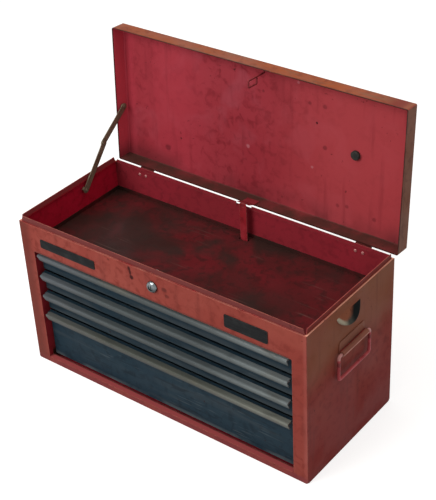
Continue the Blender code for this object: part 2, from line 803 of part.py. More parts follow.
def make_stay():
    """The folding stay: its upper link turns on the lid, its lower link on the case."""
    lid_pivot = swung(STAY_LID_Y, STAY_LID_Z)
    case_pivot = (STAY_CASE_Y, STAY_CASE_Z)
    elbow = (STAY_ELBOW_Y, STAY_ELBOW_Z)
    upper_axis = make_axis("stay_upper_axis", (0, *lid_pivot))
    lower_axis = make_axis("stay_lower_axis", (0, *case_pivot))
    add("stay_upper_link", make_link(lid_pivot, elbow, STAY_UPPER_X), "dark_steel", upper_axis)
    rivet = turned(
        (
            (0, STAY_LOWER_X[1] - SHEET / 2),
            (STAY_HEAD_RADIUS, STAY_LOWER_X[1] - SHEET / 2),
            (STAY_HEAD_RADIUS, STAY_LOWER_X[1] + STAY_HEAD_HEIGHT / 2),
            (STAY_SHANK_RADIUS, STAY_LOWER_X[1] + STAY_HEAD_HEIGHT),
            (0, STAY_LOWER_X[1] + STAY_HEAD_HEIGHT),
        ),
        elbow,
        "X",
        SMALL_SIDES,
    )
    lower = joined(make_link(case_pivot, elbow, STAY_LOWER_X), rivet)
    add("stay_lower_link", lower, "dark_steel", lower_axis)
    add("stay_case_stud", make_stud(case_pivot, -SIDE + WALL_IN, STAY_LOWER_X), "dark_steel")


def knuckle(x):
    """A rolled barrel section about the hinge pin."""
    ring = extrude(circle((PIN_Y, PIN_Z), BARREL_RADIUS, SMALL_SIDES), x[0], x[1], "X")
    bore = extrude(circle((PIN_Y, PIN_Z), BORE_RADIUS, SMALL_SIDES), x[0] - SHEET, x[1] + SHEET, "X")
    return ring, bore


def make_hinges(lid_axis):
    """A leaf on the case, a cranked leaf on the lid and a pin, at each end of the back."""
    case_y = (BACK + GAP, BACK + GAP + SHEET)
    half, middle = HINGE_WIDTH / 2, KNUCKLE / 2
    for name, centre in (("left", -HINGE_X), ("right", HINGE_X)):
        inner = middle + KNUCKLE_GAP
        ends = ((centre - half, centre - inner), (centre + inner, centre + half))
        leaf = block(
            (centre - half, centre + half),
            case_y,
            (PIN_Z - CASE_LEAF_DROP, PIN_Z - BARREL_RADIUS - CORNER_CLEARANCE),
        )
        rings, bores = zip(*(knuckle(x) for x in ends))
        straps = [block(x, case_y, (PIN_Z - BARREL_RADIUS - 2 * CORNER_CLEARANCE, PIN_Z)) for x in ends]
        add(f"hinge_case_leaf_{name}", cut(joined(leaf, *straps, *rings), *bores), "red_paint")

        ring, bore = knuckle((centre - middle, centre + middle))
        outer = PIN_Y + BARREL_RADIUS
        crank = LID_LOW + LEAF_CRANK
        wide = PIN_Z + BARREL_RADIUS + 2 * CORNER_CLEARANCE
        section = (
            (outer, wide),
            (outer, LID_LOW + SHEET),
            (case_y[1], crank + SHEET),
            (case_y[1], LID_LOW + LID_LEAF_TOP),
            (case_y[0], LID_LOW + LID_LEAF_TOP),
            (case_y[0], crank),
            (outer - SHEET, LID_LOW),
            (outer - SHEET, wide),
        )
        leaf = extrude(section, centre - half, centre + half, "X")
        neck = block(
            (centre - middle, centre + middle), (outer - SHEET, outer), (PIN_Z, wide + CORNER_CLEARANCE)
        )
        add(f"hinge_lid_leaf_{name}", cut(joined(leaf, neck, ring), bore), "red_paint", lid_axis)

        pin = extrude(
            circle((PIN_Y, PIN_Z), PIN_RADIUS, SMALL_SIDES), centre - half - SHEET, centre + half + SHEET, "X"
        )
        add(f"hinge_pin_{name}", pin, "zinc")


def make_lock():
    """Domed cylinder lock: barrel and nut on the case, turning plug and cam."""
    seat = FRONT - GAP
    dome = seat - BEZEL_RISE
    barrel = turned(
        (
            (PLUG_BORE, LOCK_BODY_BACK),
            (LOCK_BODY_RADIUS, LOCK_BODY_BACK),
            (LOCK_BODY_RADIUS, seat),
            (BEZEL_RADIUS, seat),
            *((BEZEL_RADIUS * out, seat - BEZEL_RISE * up) for out, up in BEZEL_DOME),
            (PLUG_BORE, dome),
        ),
        (0, LOCK_Z),
        "Y",
        ROUND_SIDES,
    )
    add("lock_barrel", barrel, "chrome")
    nut_face = FRONT + WALL_IN
    nut = extrude(circle((0, LOCK_Z), NUT_RADIUS, NUT_SIDES), nut_face, nut_face + NUT_THICKNESS, "Y")
    nut_hole = extrude(
        circle((0, LOCK_Z), LOCK_HOLE_RADIUS, ROUND_SIDES),
        nut_face - SHEET,
        nut_face + NUT_THICKNESS + SHEET,
        "Y",
    )
    add("lock_nut", cut(nut, nut_hole), "zinc")

    axis = make_axis("lock_axis", (0, FRONT, LOCK_Z))
    plug = turned(
        ((0, PLUG_FACE), (PLUG_RADIUS, PLUG_FACE), (PLUG_RADIUS, CAM_FRONT - GAP), (0, CAM_FRONT - GAP)),
        (0, LOCK_Z),
        "Y",
        ROUND_SIDES,
    )
    keyway = block(
        (-KEYWAY_WIDTH / 2, KEYWAY_WIDTH / 2),
        (PLUG_FACE - KEYWAY_DEPTH, PLUG_FACE + KEYWAY_DEPTH),
        (LOCK_Z - KEYWAY_HEIGHT / 2, LOCK_Z + KEYWAY_HEIGHT / 2),
    )
    add("lock_plug", cut(plug, keyway), "chrome", axis)
    half = CAM_WIDTH / 2
    rounds = (CAM_ROOT_ROUND, CAM_ROOT_ROUND, CAM_TIP_ROUND, CAM_TIP_ROUND)
    cam = extrude(
        rounded((-half, LOCK_Z - CAM_ROOT), (half, LOCK_Z + CAM_LENGTH), rounds),
        CAM_FRONT,
        CAM_FRONT + CAM_THICKNESS,
        "Y",
    )
    add("lock_cam", cam, "zinc", axis)


def make_lock_bar():
    """The bar that hooks over the drawer backs, and its two guides on the back panel."""
    axis = make_axis("lock_bar_axis", (BAR_X, BAR_FRONT, BAR_TOP))
    half = BAR_WIDTH / 2
    depth = (BAR_FRONT, BAR_FRONT + BAR_THICKNESS)
    strip = extrude(
        rounded((BAR_X - half, BAR_BOTTOM), (BAR_X + half, BAR_TOP), (0, 0, half / 2, half / 2)), *depth, "Y"
    )
    eye = extrude(
        circle((BAR_X, BAR_TOP - BAR_EYE_DROP), BAR_EYE_RADIUS, SMALL_SIDES),
        depth[0] - SHEET,
        depth[1] + SHEET,
        "Y",
    )
    hooks = []
    for top in DRAWER_TOPS:
        section = (
            (BAR_FRONT + BAR_THICKNESS / 2, top - HOOK_TOP_DROP),
            (HOOK_FRONT, top - HOOK_TOP_DROP),
            (HOOK_FRONT, top - HOOK_TIP_DROP),
            (HOOK_FRONT + BAR_THICKNESS, top - HOOK_TIP_DROP),
            (HOOK_FRONT + BAR_THICKNESS, top - HOOK_TOP_DROP - BAR_THICKNESS),
            (BAR_FRONT + BAR_THICKNESS / 2, top - HOOK_TOP_DROP - BAR_THICKNESS),
        )
        hooks.append(extrude(section, BAR_X - half / 2, BAR_X + half / 2, "X"))
    add("drawer_lock_bar", joined(cut(strip, eye), *hooks), "red_paint", axis)

    inside = half + GUIDE_CLEARANCE
    wall = BACK - WALL_IN
    web = BAR_FRONT - GUIDE_CLEARANCE
    section = [
        (inside + GUIDE_FOOT, wall),
        (inside, wall),
        (inside, web),
        (-inside, web),
        (-inside, wall),
        (-inside - GUIDE_FOOT, wall),
        (-inside - GUIDE_FOOT, wall - SHEET),
        (-inside - SHEET, wall - SHEET),
        (-inside - SHEET, web - SHEET),
        (inside + SHEET, web - SHEET),
        (inside + SHEET, wall - SHEET),
        (inside + GUIDE_FOOT, wall - SHEET),
    ]
    section = [(BAR_X + x, y) for x, y in section]
    for name, level in zip(("upper", "lower"), GUIDE_LEVELS):
        add(f"lock_bar_guide_{name}", extrude(section, level, level + GUIDE_HEIGHT, "Z"), "zinc")


def make_badges():
    """Two bare name plates on the front face."""
    for name, (low, high) in (("left", BADGE_LEFT), ("right", BADGE_RIGHT)):
        outline = rounded(low, high, [BADGE_CORNER] * 4)
        plate = extrude(outline, FRONT - GAP - BADGE_THICKNESS, FRONT - GAP, "Y")
        add(f"badge_plate_{name}", plate, "black_plate")


def make_handles():
    """A rolled bracket on each side wall and the bail that hangs in it."""
    wall = SIDE + GAP
    centre_x = SIDE + HANDLE_OFFSET
    span = (HANDLE_Y - BRACKET_WIDTH / 2, HANDLE_Y + BRACKET_WIDTH / 2)
    for name, hand in (("left", -1), ("right", 1)):
        ring = extrude(circle((centre_x, HANDLE_Z), BRACKET_RADIUS, ROUND_SIDES), *span, "Y")
        bore = extrude(
            circle((centre_x, HANDLE_Z), BRACKET_BORE, ROUND_SIDES), span[0] - SHEET, span[1] + SHEET, "Y"
        )
        outline = rounded(
            (span[0], HANDLE_Z), (span[1], HANDLE_Z + BRACKET_RISE), (0, 0, BRACKET_CORNER, BRACKET_CORNER)
        )
        plate = extrude(outline, wall, wall + BRACKET_PLATE, "X")
        bracket = cut(joined(plate, ring), bore)
        add(f"handle_bracket_{name}", bracket if hand > 0 else mirrored(bracket), "handle_paint")

        axis = make_axis(f"handle_{name}_axis", (hand * centre_x, HANDLE_Y, HANDLE_Z))
        bail = swept(bail_path(centre_x), BAIL_RADIUS, (1, 0, 0), ROD_SIDES)
        add(f"handle_bail_{name}", bail if hand > 0 else mirrored(bail), "handle_paint", axis)


def bail_path(x):
    """From one end inside the bracket, down, across and up to the other end."""
    half = BAIL_WIDTH / 2
    inner = BRACKET_WIDTH / 2 - BAIL_END
    corners = (
        (-half, 0, BAIL_SHOULDER, math.pi / 2),
        (-half, -BAIL_DROP, BAIL_BEND, math.pi),
        (half, -BAIL_DROP, BAIL_BEND, 3 * math.pi / 2),
        (half, 0, BAIL_SHOULDER, 2 * math.pi),
    )
    inward = ((1, -1), (1, 1), (-1, 1), (-1, -1))
    points = [(x, HANDLE_Y - inner, HANDLE_Z)]
    for (y, z, radius, start), (dy, dz) in zip(corners, inward):
        for i in range(CORNER_STEPS + 1):
            angle = start + i * math.pi / 2 / CORNER_STEPS
            points.append(
                (
                    x,
                    HANDLE_Y + y + dy * radius + radius * math.cos(angle),
                    HANDLE_Z + z + dz * radius + radius * math.sin(angle),
                )
            )
    points.append((x, HANDLE_Y + inner, HANDLE_Z))
    return points


for leftover in list(bpy.data.objects):
    bpy.data.objects.remove(leftover)
MATERIALS = {name: make_material(name, *look) for name, look in FINISHES.items()}
make_walls()
make_slides()
for number, (top, bottom) in enumerate(zip(DRAWER_TOPS, DRAWER_BOTTOMS), 1):
    make_drawer(number, top, bottom)
make_hinges(make_lid())
make_stay()
make_lock()
make_lock_bar()
make_badges()
make_handles()
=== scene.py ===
# %% [markdown]
# # A steel tool chest, dressed for the camera
# The chest is folded sheet steel: a case with four drawers, a lid that hinges up, a lock in the front and
# a drop handle at each end. Every solid comes from the packed CAD model, so nothing here changes a size.
# This lesson gives the solids what the model leaves out: old paint, dull metal, rivets and worn edges.
# Units are metres; the origin is under the middle of the case, and the front looks towards -Y.

# %% Load the packed chest
import json
import math

import bmesh
import bpy
from mathutils import Matrix, Vector


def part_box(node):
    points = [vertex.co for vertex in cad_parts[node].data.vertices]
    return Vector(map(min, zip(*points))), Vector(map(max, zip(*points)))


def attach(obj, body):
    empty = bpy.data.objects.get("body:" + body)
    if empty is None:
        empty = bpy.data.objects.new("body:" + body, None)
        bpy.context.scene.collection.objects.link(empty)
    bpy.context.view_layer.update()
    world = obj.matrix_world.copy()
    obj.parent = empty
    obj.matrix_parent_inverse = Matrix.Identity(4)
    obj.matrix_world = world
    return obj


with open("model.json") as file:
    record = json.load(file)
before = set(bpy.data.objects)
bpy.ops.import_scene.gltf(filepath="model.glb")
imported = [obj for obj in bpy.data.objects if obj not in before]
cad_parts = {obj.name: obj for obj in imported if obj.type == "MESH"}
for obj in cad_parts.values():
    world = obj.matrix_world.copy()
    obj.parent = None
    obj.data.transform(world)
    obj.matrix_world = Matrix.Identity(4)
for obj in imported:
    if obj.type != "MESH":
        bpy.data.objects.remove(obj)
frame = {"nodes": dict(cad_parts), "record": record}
nodes = frame["nodes"]
scene = bpy.context.scene
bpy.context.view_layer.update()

# %% [markdown]
# ## Camera
# The chest is seen from its right front corner and from above, with the camera a little tilted. The place
# and the angles were worked out from the corners of the case, so they are written down as numbers. A
# camera can be aimed with a Track To constraint, but a matrix keeps the small tilt exactly.

# %% Camera
CAMERA_PLACE = Vector((1.26306, -1.50260, 1.58616))
AZIMUTH, ELEVATION, TILT = (math.radians(a) for a in (39.12, 33.23, -3.21))
LENS = 91.09

behind = Vector((
    math.sin(AZIMUTH) * math.cos(ELEVATION),
    -math.cos(AZIMUTH) * math.cos(ELEVATION),
    math.sin(ELEVATION),
))
level = Vector((0, 0, 1)).cross(behind).normalized()
upward = behind.cross(level)
right = level * math.cos(TILT) + upward * math.sin(TILT)
above = upward * math.cos(TILT) - level * math.sin(TILT)
turn = Matrix((right, above, behind)).transposed().to_4x4()

camera = bpy.data.objects.new("camera", bpy.data.cameras.new("camera"))
camera.data.lens = LENS
camera.matrix_world = Matrix.Translation(CAMERA_PLACE) @ turn
scene.collection.objects.link(camera)
scene.camera = camera
print("camera distance to the case:", round(CAMERA_PLACE.length, 3), "m")

# %% [markdown]
# ## Light
# Soft studio light shows paint as it is. One wide lamp stands in front and to the left, so the front of
# the chest is bright and its right end falls into half shade. A second, weak lamp above the lid warms the
# faces that look up. Area lamps are used because their size sets how soft a shadow is.

# %% Lamps
def soft_lamp(name, place, aim, width, power, tint=(1.0, 1.0, 1.0)):
    """A round lamp of this width that looks at a point."""
    light = bpy.data.lights.new(name, "AREA")
    light.shape = "DISK"
    light.size = width
    light.energy = power
    light.color = tint
    lamp = bpy.data.objects.new(name, light)
    lamp.location = place
    lamp.rotation_euler = (Vector(aim) - Vector(place)).to_track_quat("-Z", "Y").to_euler()
    scene.collection.objects.link(lamp)
    return lamp


MIDDLE = (0.0, 0.0, 0.3)
lamps = [
    soft_lamp("key_lamp", (-1.1, -2.3, 2.2), MIDDLE, 2.0, 60),
    soft_lamp("top_lamp", (0.3, 0.1, 2.9), MIDDLE, 1.8, 22, (1.0, 0.93, 0.82)),
]
print("lamps:", [lamp.name for lamp in lamps])

# %% [markdown]
# ## A white background without more light
# A white world alone would be far too much light, and stronger lamps would bleach the paint. Light Path
# tells a shader which rays come from the camera or from a mirror-like surface. Those may see white, while
# all other rays, which only carry light, see something plainer. Two small helpers build that switch.

# %% Rays that show the background
def seen_rays(tree):
    """1 for rays that show the background, 0 for rays that only carry light."""
    path = tree.nodes.new("ShaderNodeLightPath")
    total = path.outputs["Is Camera Ray"]
    for other in ("Is Glossy Ray", "Is Transmission Ray"):
        step = tree.nodes.new("ShaderNodeMath")
        step.operation = "MAXIMUM"
        tree.links.new(total, step.inputs[0])
        tree.links.new(path.outputs[other], step.inputs[1])
        total = step.outputs[0]
    return total


def scaled(tree, value, factor, offset):
    """value * factor + offset."""
    step = tree.nodes.new("ShaderNodeMath")
    step.operation = "MULTIPLY_ADD"
    tree.links.new(value, step.inputs[0])
    step.inputs[1].default_value = factor
    step.inputs[2].default_value = offset
    return step.outputs[0]


print("background switch ready")

# %% [markdown]
# ## World
# A photographer would hang a white sheet all round. The world does the same with one Background node: its
# strength is 1 for the rays that show it and a plain grey for the rest, which fills the shadows. An image
# of a studio would also do, but it would put shapes into every reflection. The Standard view leaves
# colours as they are written.

# %% World
AMBIENT = 0.45

scene.view_settings.view_transform = "Standard"
world = bpy.data.worlds.new("studio")
world.use_nodes = True
scene.world = world
backdrop = world.node_tree.nodes["Background"]
backdrop.inputs["Color"].default_value = (1, 1, 1, 1)
strength = scaled(world.node_tree, seen_rays(world.node_tree), 1 - AMBIENT, AMBIENT)
world.node_tree.links.new(strength, backdrop.inputs["Strength"])
print("world strength for light:", AMBIENT)

# %% [markdown]
# ## Floor
# The chest stands on a pale floor. A shadow catcher would need compositing, so the floor is an ordinary
# plane instead. Part of its white is its own glow, which only the camera and reflections see, and the
# rest is light that falls on it; that part is what the shadow of the chest takes away.

# %% Floor
FLOOR_SIZE = 14
FLOOR_GLOW = 0.72
FLOOR_GREY = (0.5, 0.5, 0.5, 1)

bpy.ops.mesh.primitive_plane_add(size=FLOOR_SIZE)
floor = bpy.context.object
floor.name = "floor"
floor_paint = bpy.data.materials.new("pale_floor")
floor_paint.use_nodes = True
tree = floor_paint.node_tree
tree.nodes.remove(tree.nodes["Principled BSDF"])
matt = tree.nodes.new("ShaderNodeBsdfDiffuse")
matt.inputs["Color"].default_value = FLOOR_GREY
glow = tree.nodes.new("ShaderNodeEmission")
matt_and_glow = tree.nodes.new("ShaderNodeAddShader")
tree.links.new(scaled(tree, seen_rays(tree), FLOOR_GLOW, 0.0), glow.inputs["Strength"])
tree.links.new(matt.outputs[0], matt_and_glow.inputs[0])
tree.links.new(glow.outputs[0], matt_and_glow.inputs[1])
tree.links.new(matt_and_glow.outputs[0], tree.nodes["Material Output"].inputs["Surface"])
floor.data.materials.append(floor_paint)
print("floor glow:", FLOOR_GLOW)

# %% [markdown]
# ## Colours
# A paint chart gives colours as a screen shows them, from 0 to 255. A shader counts light instead, where
# half as bright to the eye is only about a fifth of the light. One function turns the first into the
# second, so that every finish can be written in the numbers that a person would read off a chart.

# %% Colours
def srgb(red, green, blue):
    """A colour as a screen shows it, as the linear colour that a shader needs."""
    values = []
    for channel in (red, green, blue):
        share = channel / 255
        values.append(share / 12.92 if share <= 0.04045 else ((share + 0.055) / 1.055) ** 2.4)
    return (*values, 1.0)


print("a mid grey of 128 is", round(srgb(128, 128, 128)[0], 3), "to a shader")

# %% [markdown]
# ## A bench for finishes
# Every finish below is a node tree under one Principled shader. Wiring each tree by hand takes many
# lines, so a class gives each step a short name. It is built in three layers, and this first one only
# adds nodes and joins them. Object coordinates are the frame's metres. They move with the piece, so the
# wear stays where it is when a drawer slides or the lid turns.

# %% Bench for finishes
class Bench:
    """One material, and a short way to add its nodes."""

    def __init__(self, name, **constants):
        self.material = bpy.data.materials.new(name)
        self.material.use_nodes = True
        self.tree = self.material.node_tree
        self.shader = self.tree.nodes["Principled BSDF"]
        for socket, value in constants.items():
            self.shader.inputs[socket.replace("_", " ")].default_value = value
        coordinates = self.add("TexCoord")
        self.place = coordinates.outputs["Object"]
        self.facing = coordinates.outputs["Normal"]

    def add(self, kind, feeds=None, **settings):
        node = self.tree.nodes.new("ShaderNode" + kind)
        for key, value in settings.items():
            setattr(node, key, value)
        for socket, value in (feeds or {}).items():
            self.feed(node.inputs[socket], value)
        return node

    def feed(self, socket, value):
        if isinstance(value, bpy.types.NodeSocket):
            self.tree.links.new(value, socket)
        else:
            socket.default_value = value

    def calc(self, operation, first, second=0.0):
        return self.add("Math", {0: first, 1: second}, operation=operation).outputs[0]

    def vector(self, operation, *values):
        return self.add("VectorMath", dict(enumerate(values)), operation=operation).outputs

    def axis(self, letter, source=None):
        return self.add("SeparateXYZ", {0: source or self.place}).outputs[letter]


print("bench can:", [name for name in vars(Bench) if not name.startswith("_")])

# %% [markdown]
# ## Masks
# A mask is a number from 0 to 1 that says where something shows, like masking tape before a coat of
# paint. A painted image could hold it, but a mask made of noise and of plain distances stays sharp at any
# size. A noise scale of 20 means features about 5 cm apart. Multiplying masks leaves only where all of
# them show.

# %% Masks
class Masks(Bench):
    """Ways to say where something shows."""

    def noise(self, scale, detail=3.0, stretch=None, distort=0.0):
        vector = self.place
        if stretch:
            vector = self.add("Mapping", {"Vector": vector, "Scale": stretch}).outputs[0]
        feeds = {"Vector": vector, "Scale": scale, "Detail": detail, "Distortion": distort}
        return self.add("TexNoise", feeds).outputs[0]

    def span(self, value, start, end, low=0.0, high=1.0):
        """value between start and end, spread smoothly over low to high and held there."""
        feeds = {"Value": value, "From Min": start, "From Max": end, "To Min": low, "To Max": high}
        return self.add("MapRange", feeds, interpolation_type="SMOOTHSTEP").outputs[0]

    def patches(self, scale, start, end, low=0.0, high=1.0, detail=3.0, stretch=None, distort=0.0):
        """Noise cut to a range: low where it is weak, high where it is strong."""
        return self.span(self.noise(scale, detail, stretch, distort), start, end, low, high)

    def both(self, *masks):
        """Where all of these masks are 1; a plain number weakens the rest."""
        total = masks[0]
        for mask in masks[1:]:
            total = self.calc("MULTIPLY", total, mask)
        return total

    def band(self, value, low, high, soft):
        """1 between low and high, with soft ends."""
        return self.both(self.span(value, low, low + soft), self.span(value, high, high - soft))


print("masks can:", [name for name in vars(Masks) if not name.startswith("_")])

# %% [markdown]
# ## Coats and stains
# Paint covers what is under it, so most steps of a finish lay one tone over a colour through a mask. A
# stain is a single spot with a place and a size. Its outline would be a smooth oval; noise that shifts
# each point a little before its distance is measured makes it ragged, as a drop of oil is.

# %% Coats and stains
STAIN_WOBBLE = (0.7, 0.7, 0.7)


class Finish(Masks):
    """Ways to lay one colour over another."""

    def mix(self, factor, under, over, mode="MIX"):
        node = self.add("Mix", {0: factor, 6: under, 7: over}, data_type="RGBA", blend_type=mode)
        return node.outputs[2]

    def paint(self, mask, under, tone, amount=1.0):
        """A tone of 0 to 255 laid over a colour where the mask is 1."""
        return self.mix(self.both(mask, amount), under, srgb(*tone))

    def stain(self, centre, reach):
        """1 in the middle of a ragged spot, 0 outside it."""
        wobble = self.add("TexNoise", {"Vector": self.place, "Scale": 0.9 / max(reach)}).outputs["Color"]
        wobble = self.vector("SUBTRACT", wobble, (0.5, 0.5, 0.5))[0]
        offset = self.vector("SUBTRACT", self.place, centre)[0]
        offset = self.vector("DIVIDE", offset, reach)[0]
        offset = self.vector("MULTIPLY_ADD", wobble, STAIN_WOBBLE, offset)[0]
        return self.span(self.vector("LENGTH", offset)["Value"], 1.0, 0.45)


print("finishes can:", [name for name in vars(Finish) if not name.startswith("_")])

# %% [markdown]
# ## Where a surface wears
# Hands and hard things rub the outer edges of sheet metal until the paint is thin. Such edges could be
# painted by hand with vertex colours, but the solids have too few points for that. The Bevel node gives
# the direction that a slightly rounded edge would have, and where it differs from the real direction
# there is an edge. It looks only at the piece itself, so the wear stays the same when a drawer or the lid
# moves.

# %% Edges
def edges(f, width, ragged=0.5, scale=60.0):
    """1 along the piece's edges, broken up by noise."""
    rounded = f.add("Bevel", {"Radius": width}, samples=6).outputs[0]
    real = f.add("NewGeometry").outputs["Normal"]
    facing = f.vector("DOT_PRODUCT", rounded, real)["Value"]
    rim = f.span(facing, 0.995, 0.86)
    broken = f.patches(scale, 0.5 - ragged / 2, 0.5 + ragged / 4, detail=4.0)
    return f.both(rim, broken)


def rub(f, colour, tone, width, ragged=0.5, scale=60.0, amount=1.0):
    """Show a paler or barer tone along the edges."""
    return f.paint(edges(f, width, ragged, scale), colour, tone, amount)


print("edge wear ready")

# %% [markdown]
# ## Where a surface gathers dirt and shade
# Dust and oil stay in inner corners, where no cloth reaches, and the same corners are darkened further as
# painted shade. Ambient Occlusion finds those: it asks how much of the sky a point can see, and Only
# Local makes it ignore the neighbours, so that a drawer carries no dark print of the case when it slides
# out.
# Noise keeps the darkening from looking like a drawn outline.

# %% Corners
# Dark tone for dirt and painted shade in corners.
GRIME_AND_SHADE_TONE = (52, 33, 26)


def corners(f, reach):
    """1 deep in the piece's corners."""
    open_sky = f.add("AmbientOcclusion", {"Distance": reach}, samples=6, only_local=True).outputs["AO"]
    shut = f.span(open_sky, 0.85, 0.35)
    return f.both(shut, f.patches(25.0, 0.3, 0.8, 0.35, 1.0, detail=4.0))


def grime_and_shade(f, colour, reach, amount, tone=GRIME_AND_SHADE_TONE):
    """Darken the corners with dirt and painted shade."""
    return f.paint(corners(f, reach), colour, tone, amount)


print("corner dirt ready")

# %% [markdown]
# ## Old enamel
# Sprayed enamel starts as one even colour. Years later it has faded in broad clouds, it is mottled where
# it was wiped, dirt has run down it in streaks, and small chips show dark metal. An image of real paint
# could be used, but noise gives the same at any size and needs no file. The recipe is split into layers,
# so that each part of the chest can have more or less of each.

# %% Enamel layers
CHIP = (48, 26, 24)


def enamel(f, coat, faded, mottled, cloud=7.0):
    """The paint itself: clouds of a faded tone and a darker mottle over the coat."""
    clouds = f.patches(cloud, 0.36, 0.66, detail=4.0, distort=0.5)
    colour = f.mix(clouds, srgb(*coat), srgb(*faded))
    mottle = f.patches(64.0, 0.46, 0.70, 0.0, 0.8, detail=5.0, distort=0.6)
    return f.paint(mottle, colour, mottled)


def streaks(f, colour, tone, amount, stretch=(70, 70, 5)):
    """Thin runs of dirt along the direction that is stretched least."""
    run = f.patches(1.0, 0.54, 0.78, 0.0, amount, detail=4.0, stretch=stretch)
    return f.paint(run, colour, tone)


def chips(f, colour, amount, scale=150.0):
    """Small dark spots in a few places."""
    spot = f.patches(scale, 0.68, 0.74, 0.0, amount, detail=2.0)
    where = f.patches(11.0, 0.5, 0.62, detail=2.0)
    return f.paint(f.both(spot, where), colour, CHIP)


def scratches(f, colour, tone, amount, stretch):
    """Fine straight marks."""
    line = f.patches(1.0, 0.66, 0.72, 0.0, amount, detail=1.0, stretch=stretch, distort=0.3)
    where = f.patches(9.0, 0.45, 0.65, detail=2.0)
    return f.paint(f.both(line, where), colour, tone)


print("enamel layers ready")

# %% [markdown]
# ## Gloss and skin
# Old paint shines unevenly, has the fine skin of an orange and lies over shallow dents in the sheet. Real
# dents would need a dense mesh; two Bump nodes, a fine one under a broad one, tilt the light in the same
# way and leave the solid alone. This step ends every finish.

# %% Gloss and skin
ENAMEL_GLOSS = (0.36, 0.56)


def close_finish(f, colour, rough=ENAMEL_GLOSS, peel=0.00012, dents=0.0006):
    """Join the colour to the shader, with a patchy gloss and a slightly uneven skin."""
    f.feed(f.shader.inputs["Base Color"], colour)
    f.feed(f.shader.inputs["Roughness"], f.patches(16.0, 0.3, 0.7, *rough, detail=5.0))
    fine = {"Strength": 0.35, "Distance": peel, "Height": f.noise(620.0, 2.0)}
    broad = {"Strength": 0.3, "Distance": dents, "Height": f.noise(13.0, 2.0)}
    broad["Normal"] = f.add("Bump", fine).outputs[0]
    f.feed(f.shader.inputs["Normal"], f.add("Bump", broad).outputs[0])
    return f.material


finishes = {}
print("roughness of enamel:", ENAMEL_GLOSS)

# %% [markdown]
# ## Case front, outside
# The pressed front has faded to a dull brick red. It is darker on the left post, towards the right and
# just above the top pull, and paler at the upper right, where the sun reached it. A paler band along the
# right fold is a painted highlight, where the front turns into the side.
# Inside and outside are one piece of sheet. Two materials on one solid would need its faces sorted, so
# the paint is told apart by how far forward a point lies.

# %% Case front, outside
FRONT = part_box("front_frame")[0].y
SKIN, CORE = 0.0004, 0.0009
LEFT_POST = (-0.296, -0.318)
RIGHT_FOLD = (0.320, 0.327)
FOOT = (0.016, 0.008)
SUNNED_X, SUNNED_Z = (0.20, 0.27), (0.288, 0.306)
ABOVE_PULL, DRAWER_ENDS = (0.260, 0.2735), (0.300, 0.290)

f = Finish("case_front", Specular_IOR_Level=0.04)
x, y, z = (f.axis(letter) for letter in "XYZ")
outside = f.span(y, FRONT + CORE, FRONT + SKIN)
shell = enamel(f, (149, 66, 57), (157, 75, 65), (128, 54, 46))
shell = f.paint(f.span(x, -0.05, 0.32, 0.0, 0.30), shell, (138, 58, 50))
shell = f.paint(f.span(x, *LEFT_POST), shell, (114, 54, 46), 0.85)
# Painted highlight in a band along the right fold.
fold_highlight = f.both(f.span(x, *RIGHT_FOLD), f.patches(14.0, 0.3, 0.6, 0.3, 0.75))
shell = f.paint(fold_highlight, shell, (166, 88, 80))
dull_foot = f.both(f.span(z, *FOOT), f.patches(16.0, 0.3, 0.6, 0.3, 0.8))
shell = f.paint(dull_foot, shell, (126, 58, 62))
sunned = f.both(f.span(x, *SUNNED_X), f.span(z, *SUNNED_Z), f.patches(9.0, 0.3, 0.55, 0.4, 1.0))
shell = f.paint(sunned, shell, (162, 80, 68), 0.7)
shell = streaks(f, shell, (116, 50, 44), 0.45)
above_pull = f.both(f.band(z, *ABOVE_PULL, 0.0055), f.span(f.calc("ABSOLUTE", x), *DRAWER_ENDS))
shell = f.paint(above_pull, shell, (100, 52, 48), 0.75)
print("front face at y =", round(FRONT, 4))

# %% [markdown]
# ## Marks beside the lock
# A black run of old oil hangs to the left of the lock, and there are fainter smears to its right. They
# are single marks with a place of their own, so plain noise can't give them. Each is a ragged spot with a
# centre, a half width and a half height; three spots in a row make the run.

# %% Marks beside the lock
MARK_DEPTH = 0.01
LOCK_MARKS = (
    (-0.0537, 0.3205, 0.0046, 0.0060, 0.92),
    (-0.0520, 0.3130, 0.0034, 0.0085, 0.90),
    (-0.0500, 0.3025, 0.0066, 0.0068, 0.95),
    (0.0266, 0.3044, 0.0080, 0.0060, 0.55),
    (0.0326, 0.2920, 0.0070, 0.0050, 0.45),
    (-0.1035, 0.3215, 0.0040, 0.0030, 0.45),
)
for mark_x, mark_z, half_width, half_height, amount in LOCK_MARKS:
    mark = f.stain((mark_x, FRONT, mark_z), (half_width, MARK_DEPTH, half_height))
    shell = f.paint(mark, shell, (58, 22, 22), amount)
print("marks by the lock:", len(LOCK_MARKS))

# %% [markdown]
# ## Case front, inside and ledge
# The flanges that turn in keep a brighter red, because light never reached them. The sill's upper face is
# painted paler as painted light from above, and its inner edge low down is painted dark as painted shade.
# On top, the ledge under the rim is painted pale, partly where the lid rubs it and partly as painted
# light from above. The ledge is found by its height and by the way it faces, which is enough to tell it
# from the walls above and below.

# %% Case front, inside and ledge
LEDGE_TOP = 0.328
SILL, SILL_DEPTH = (0.05, 0.03), (FRONT + 0.009, FRONT + 0.012)


def looks_up(f):
    """1 on faces that look up."""
    return f.span(f.axis("Z", f.facing), 0.5, 0.8)


def rim_and_ledge(f, z):
    """Masks of the upright rim on top of the case and of the step under it."""
    rim = f.span(z, LEDGE_TOP + 0.0002, LEDGE_TOP + 0.0012)
    return rim, f.both(looks_up(f), f.band(z, LEDGE_TOP - 0.004, LEDGE_TOP + 0.001, 0.0005))


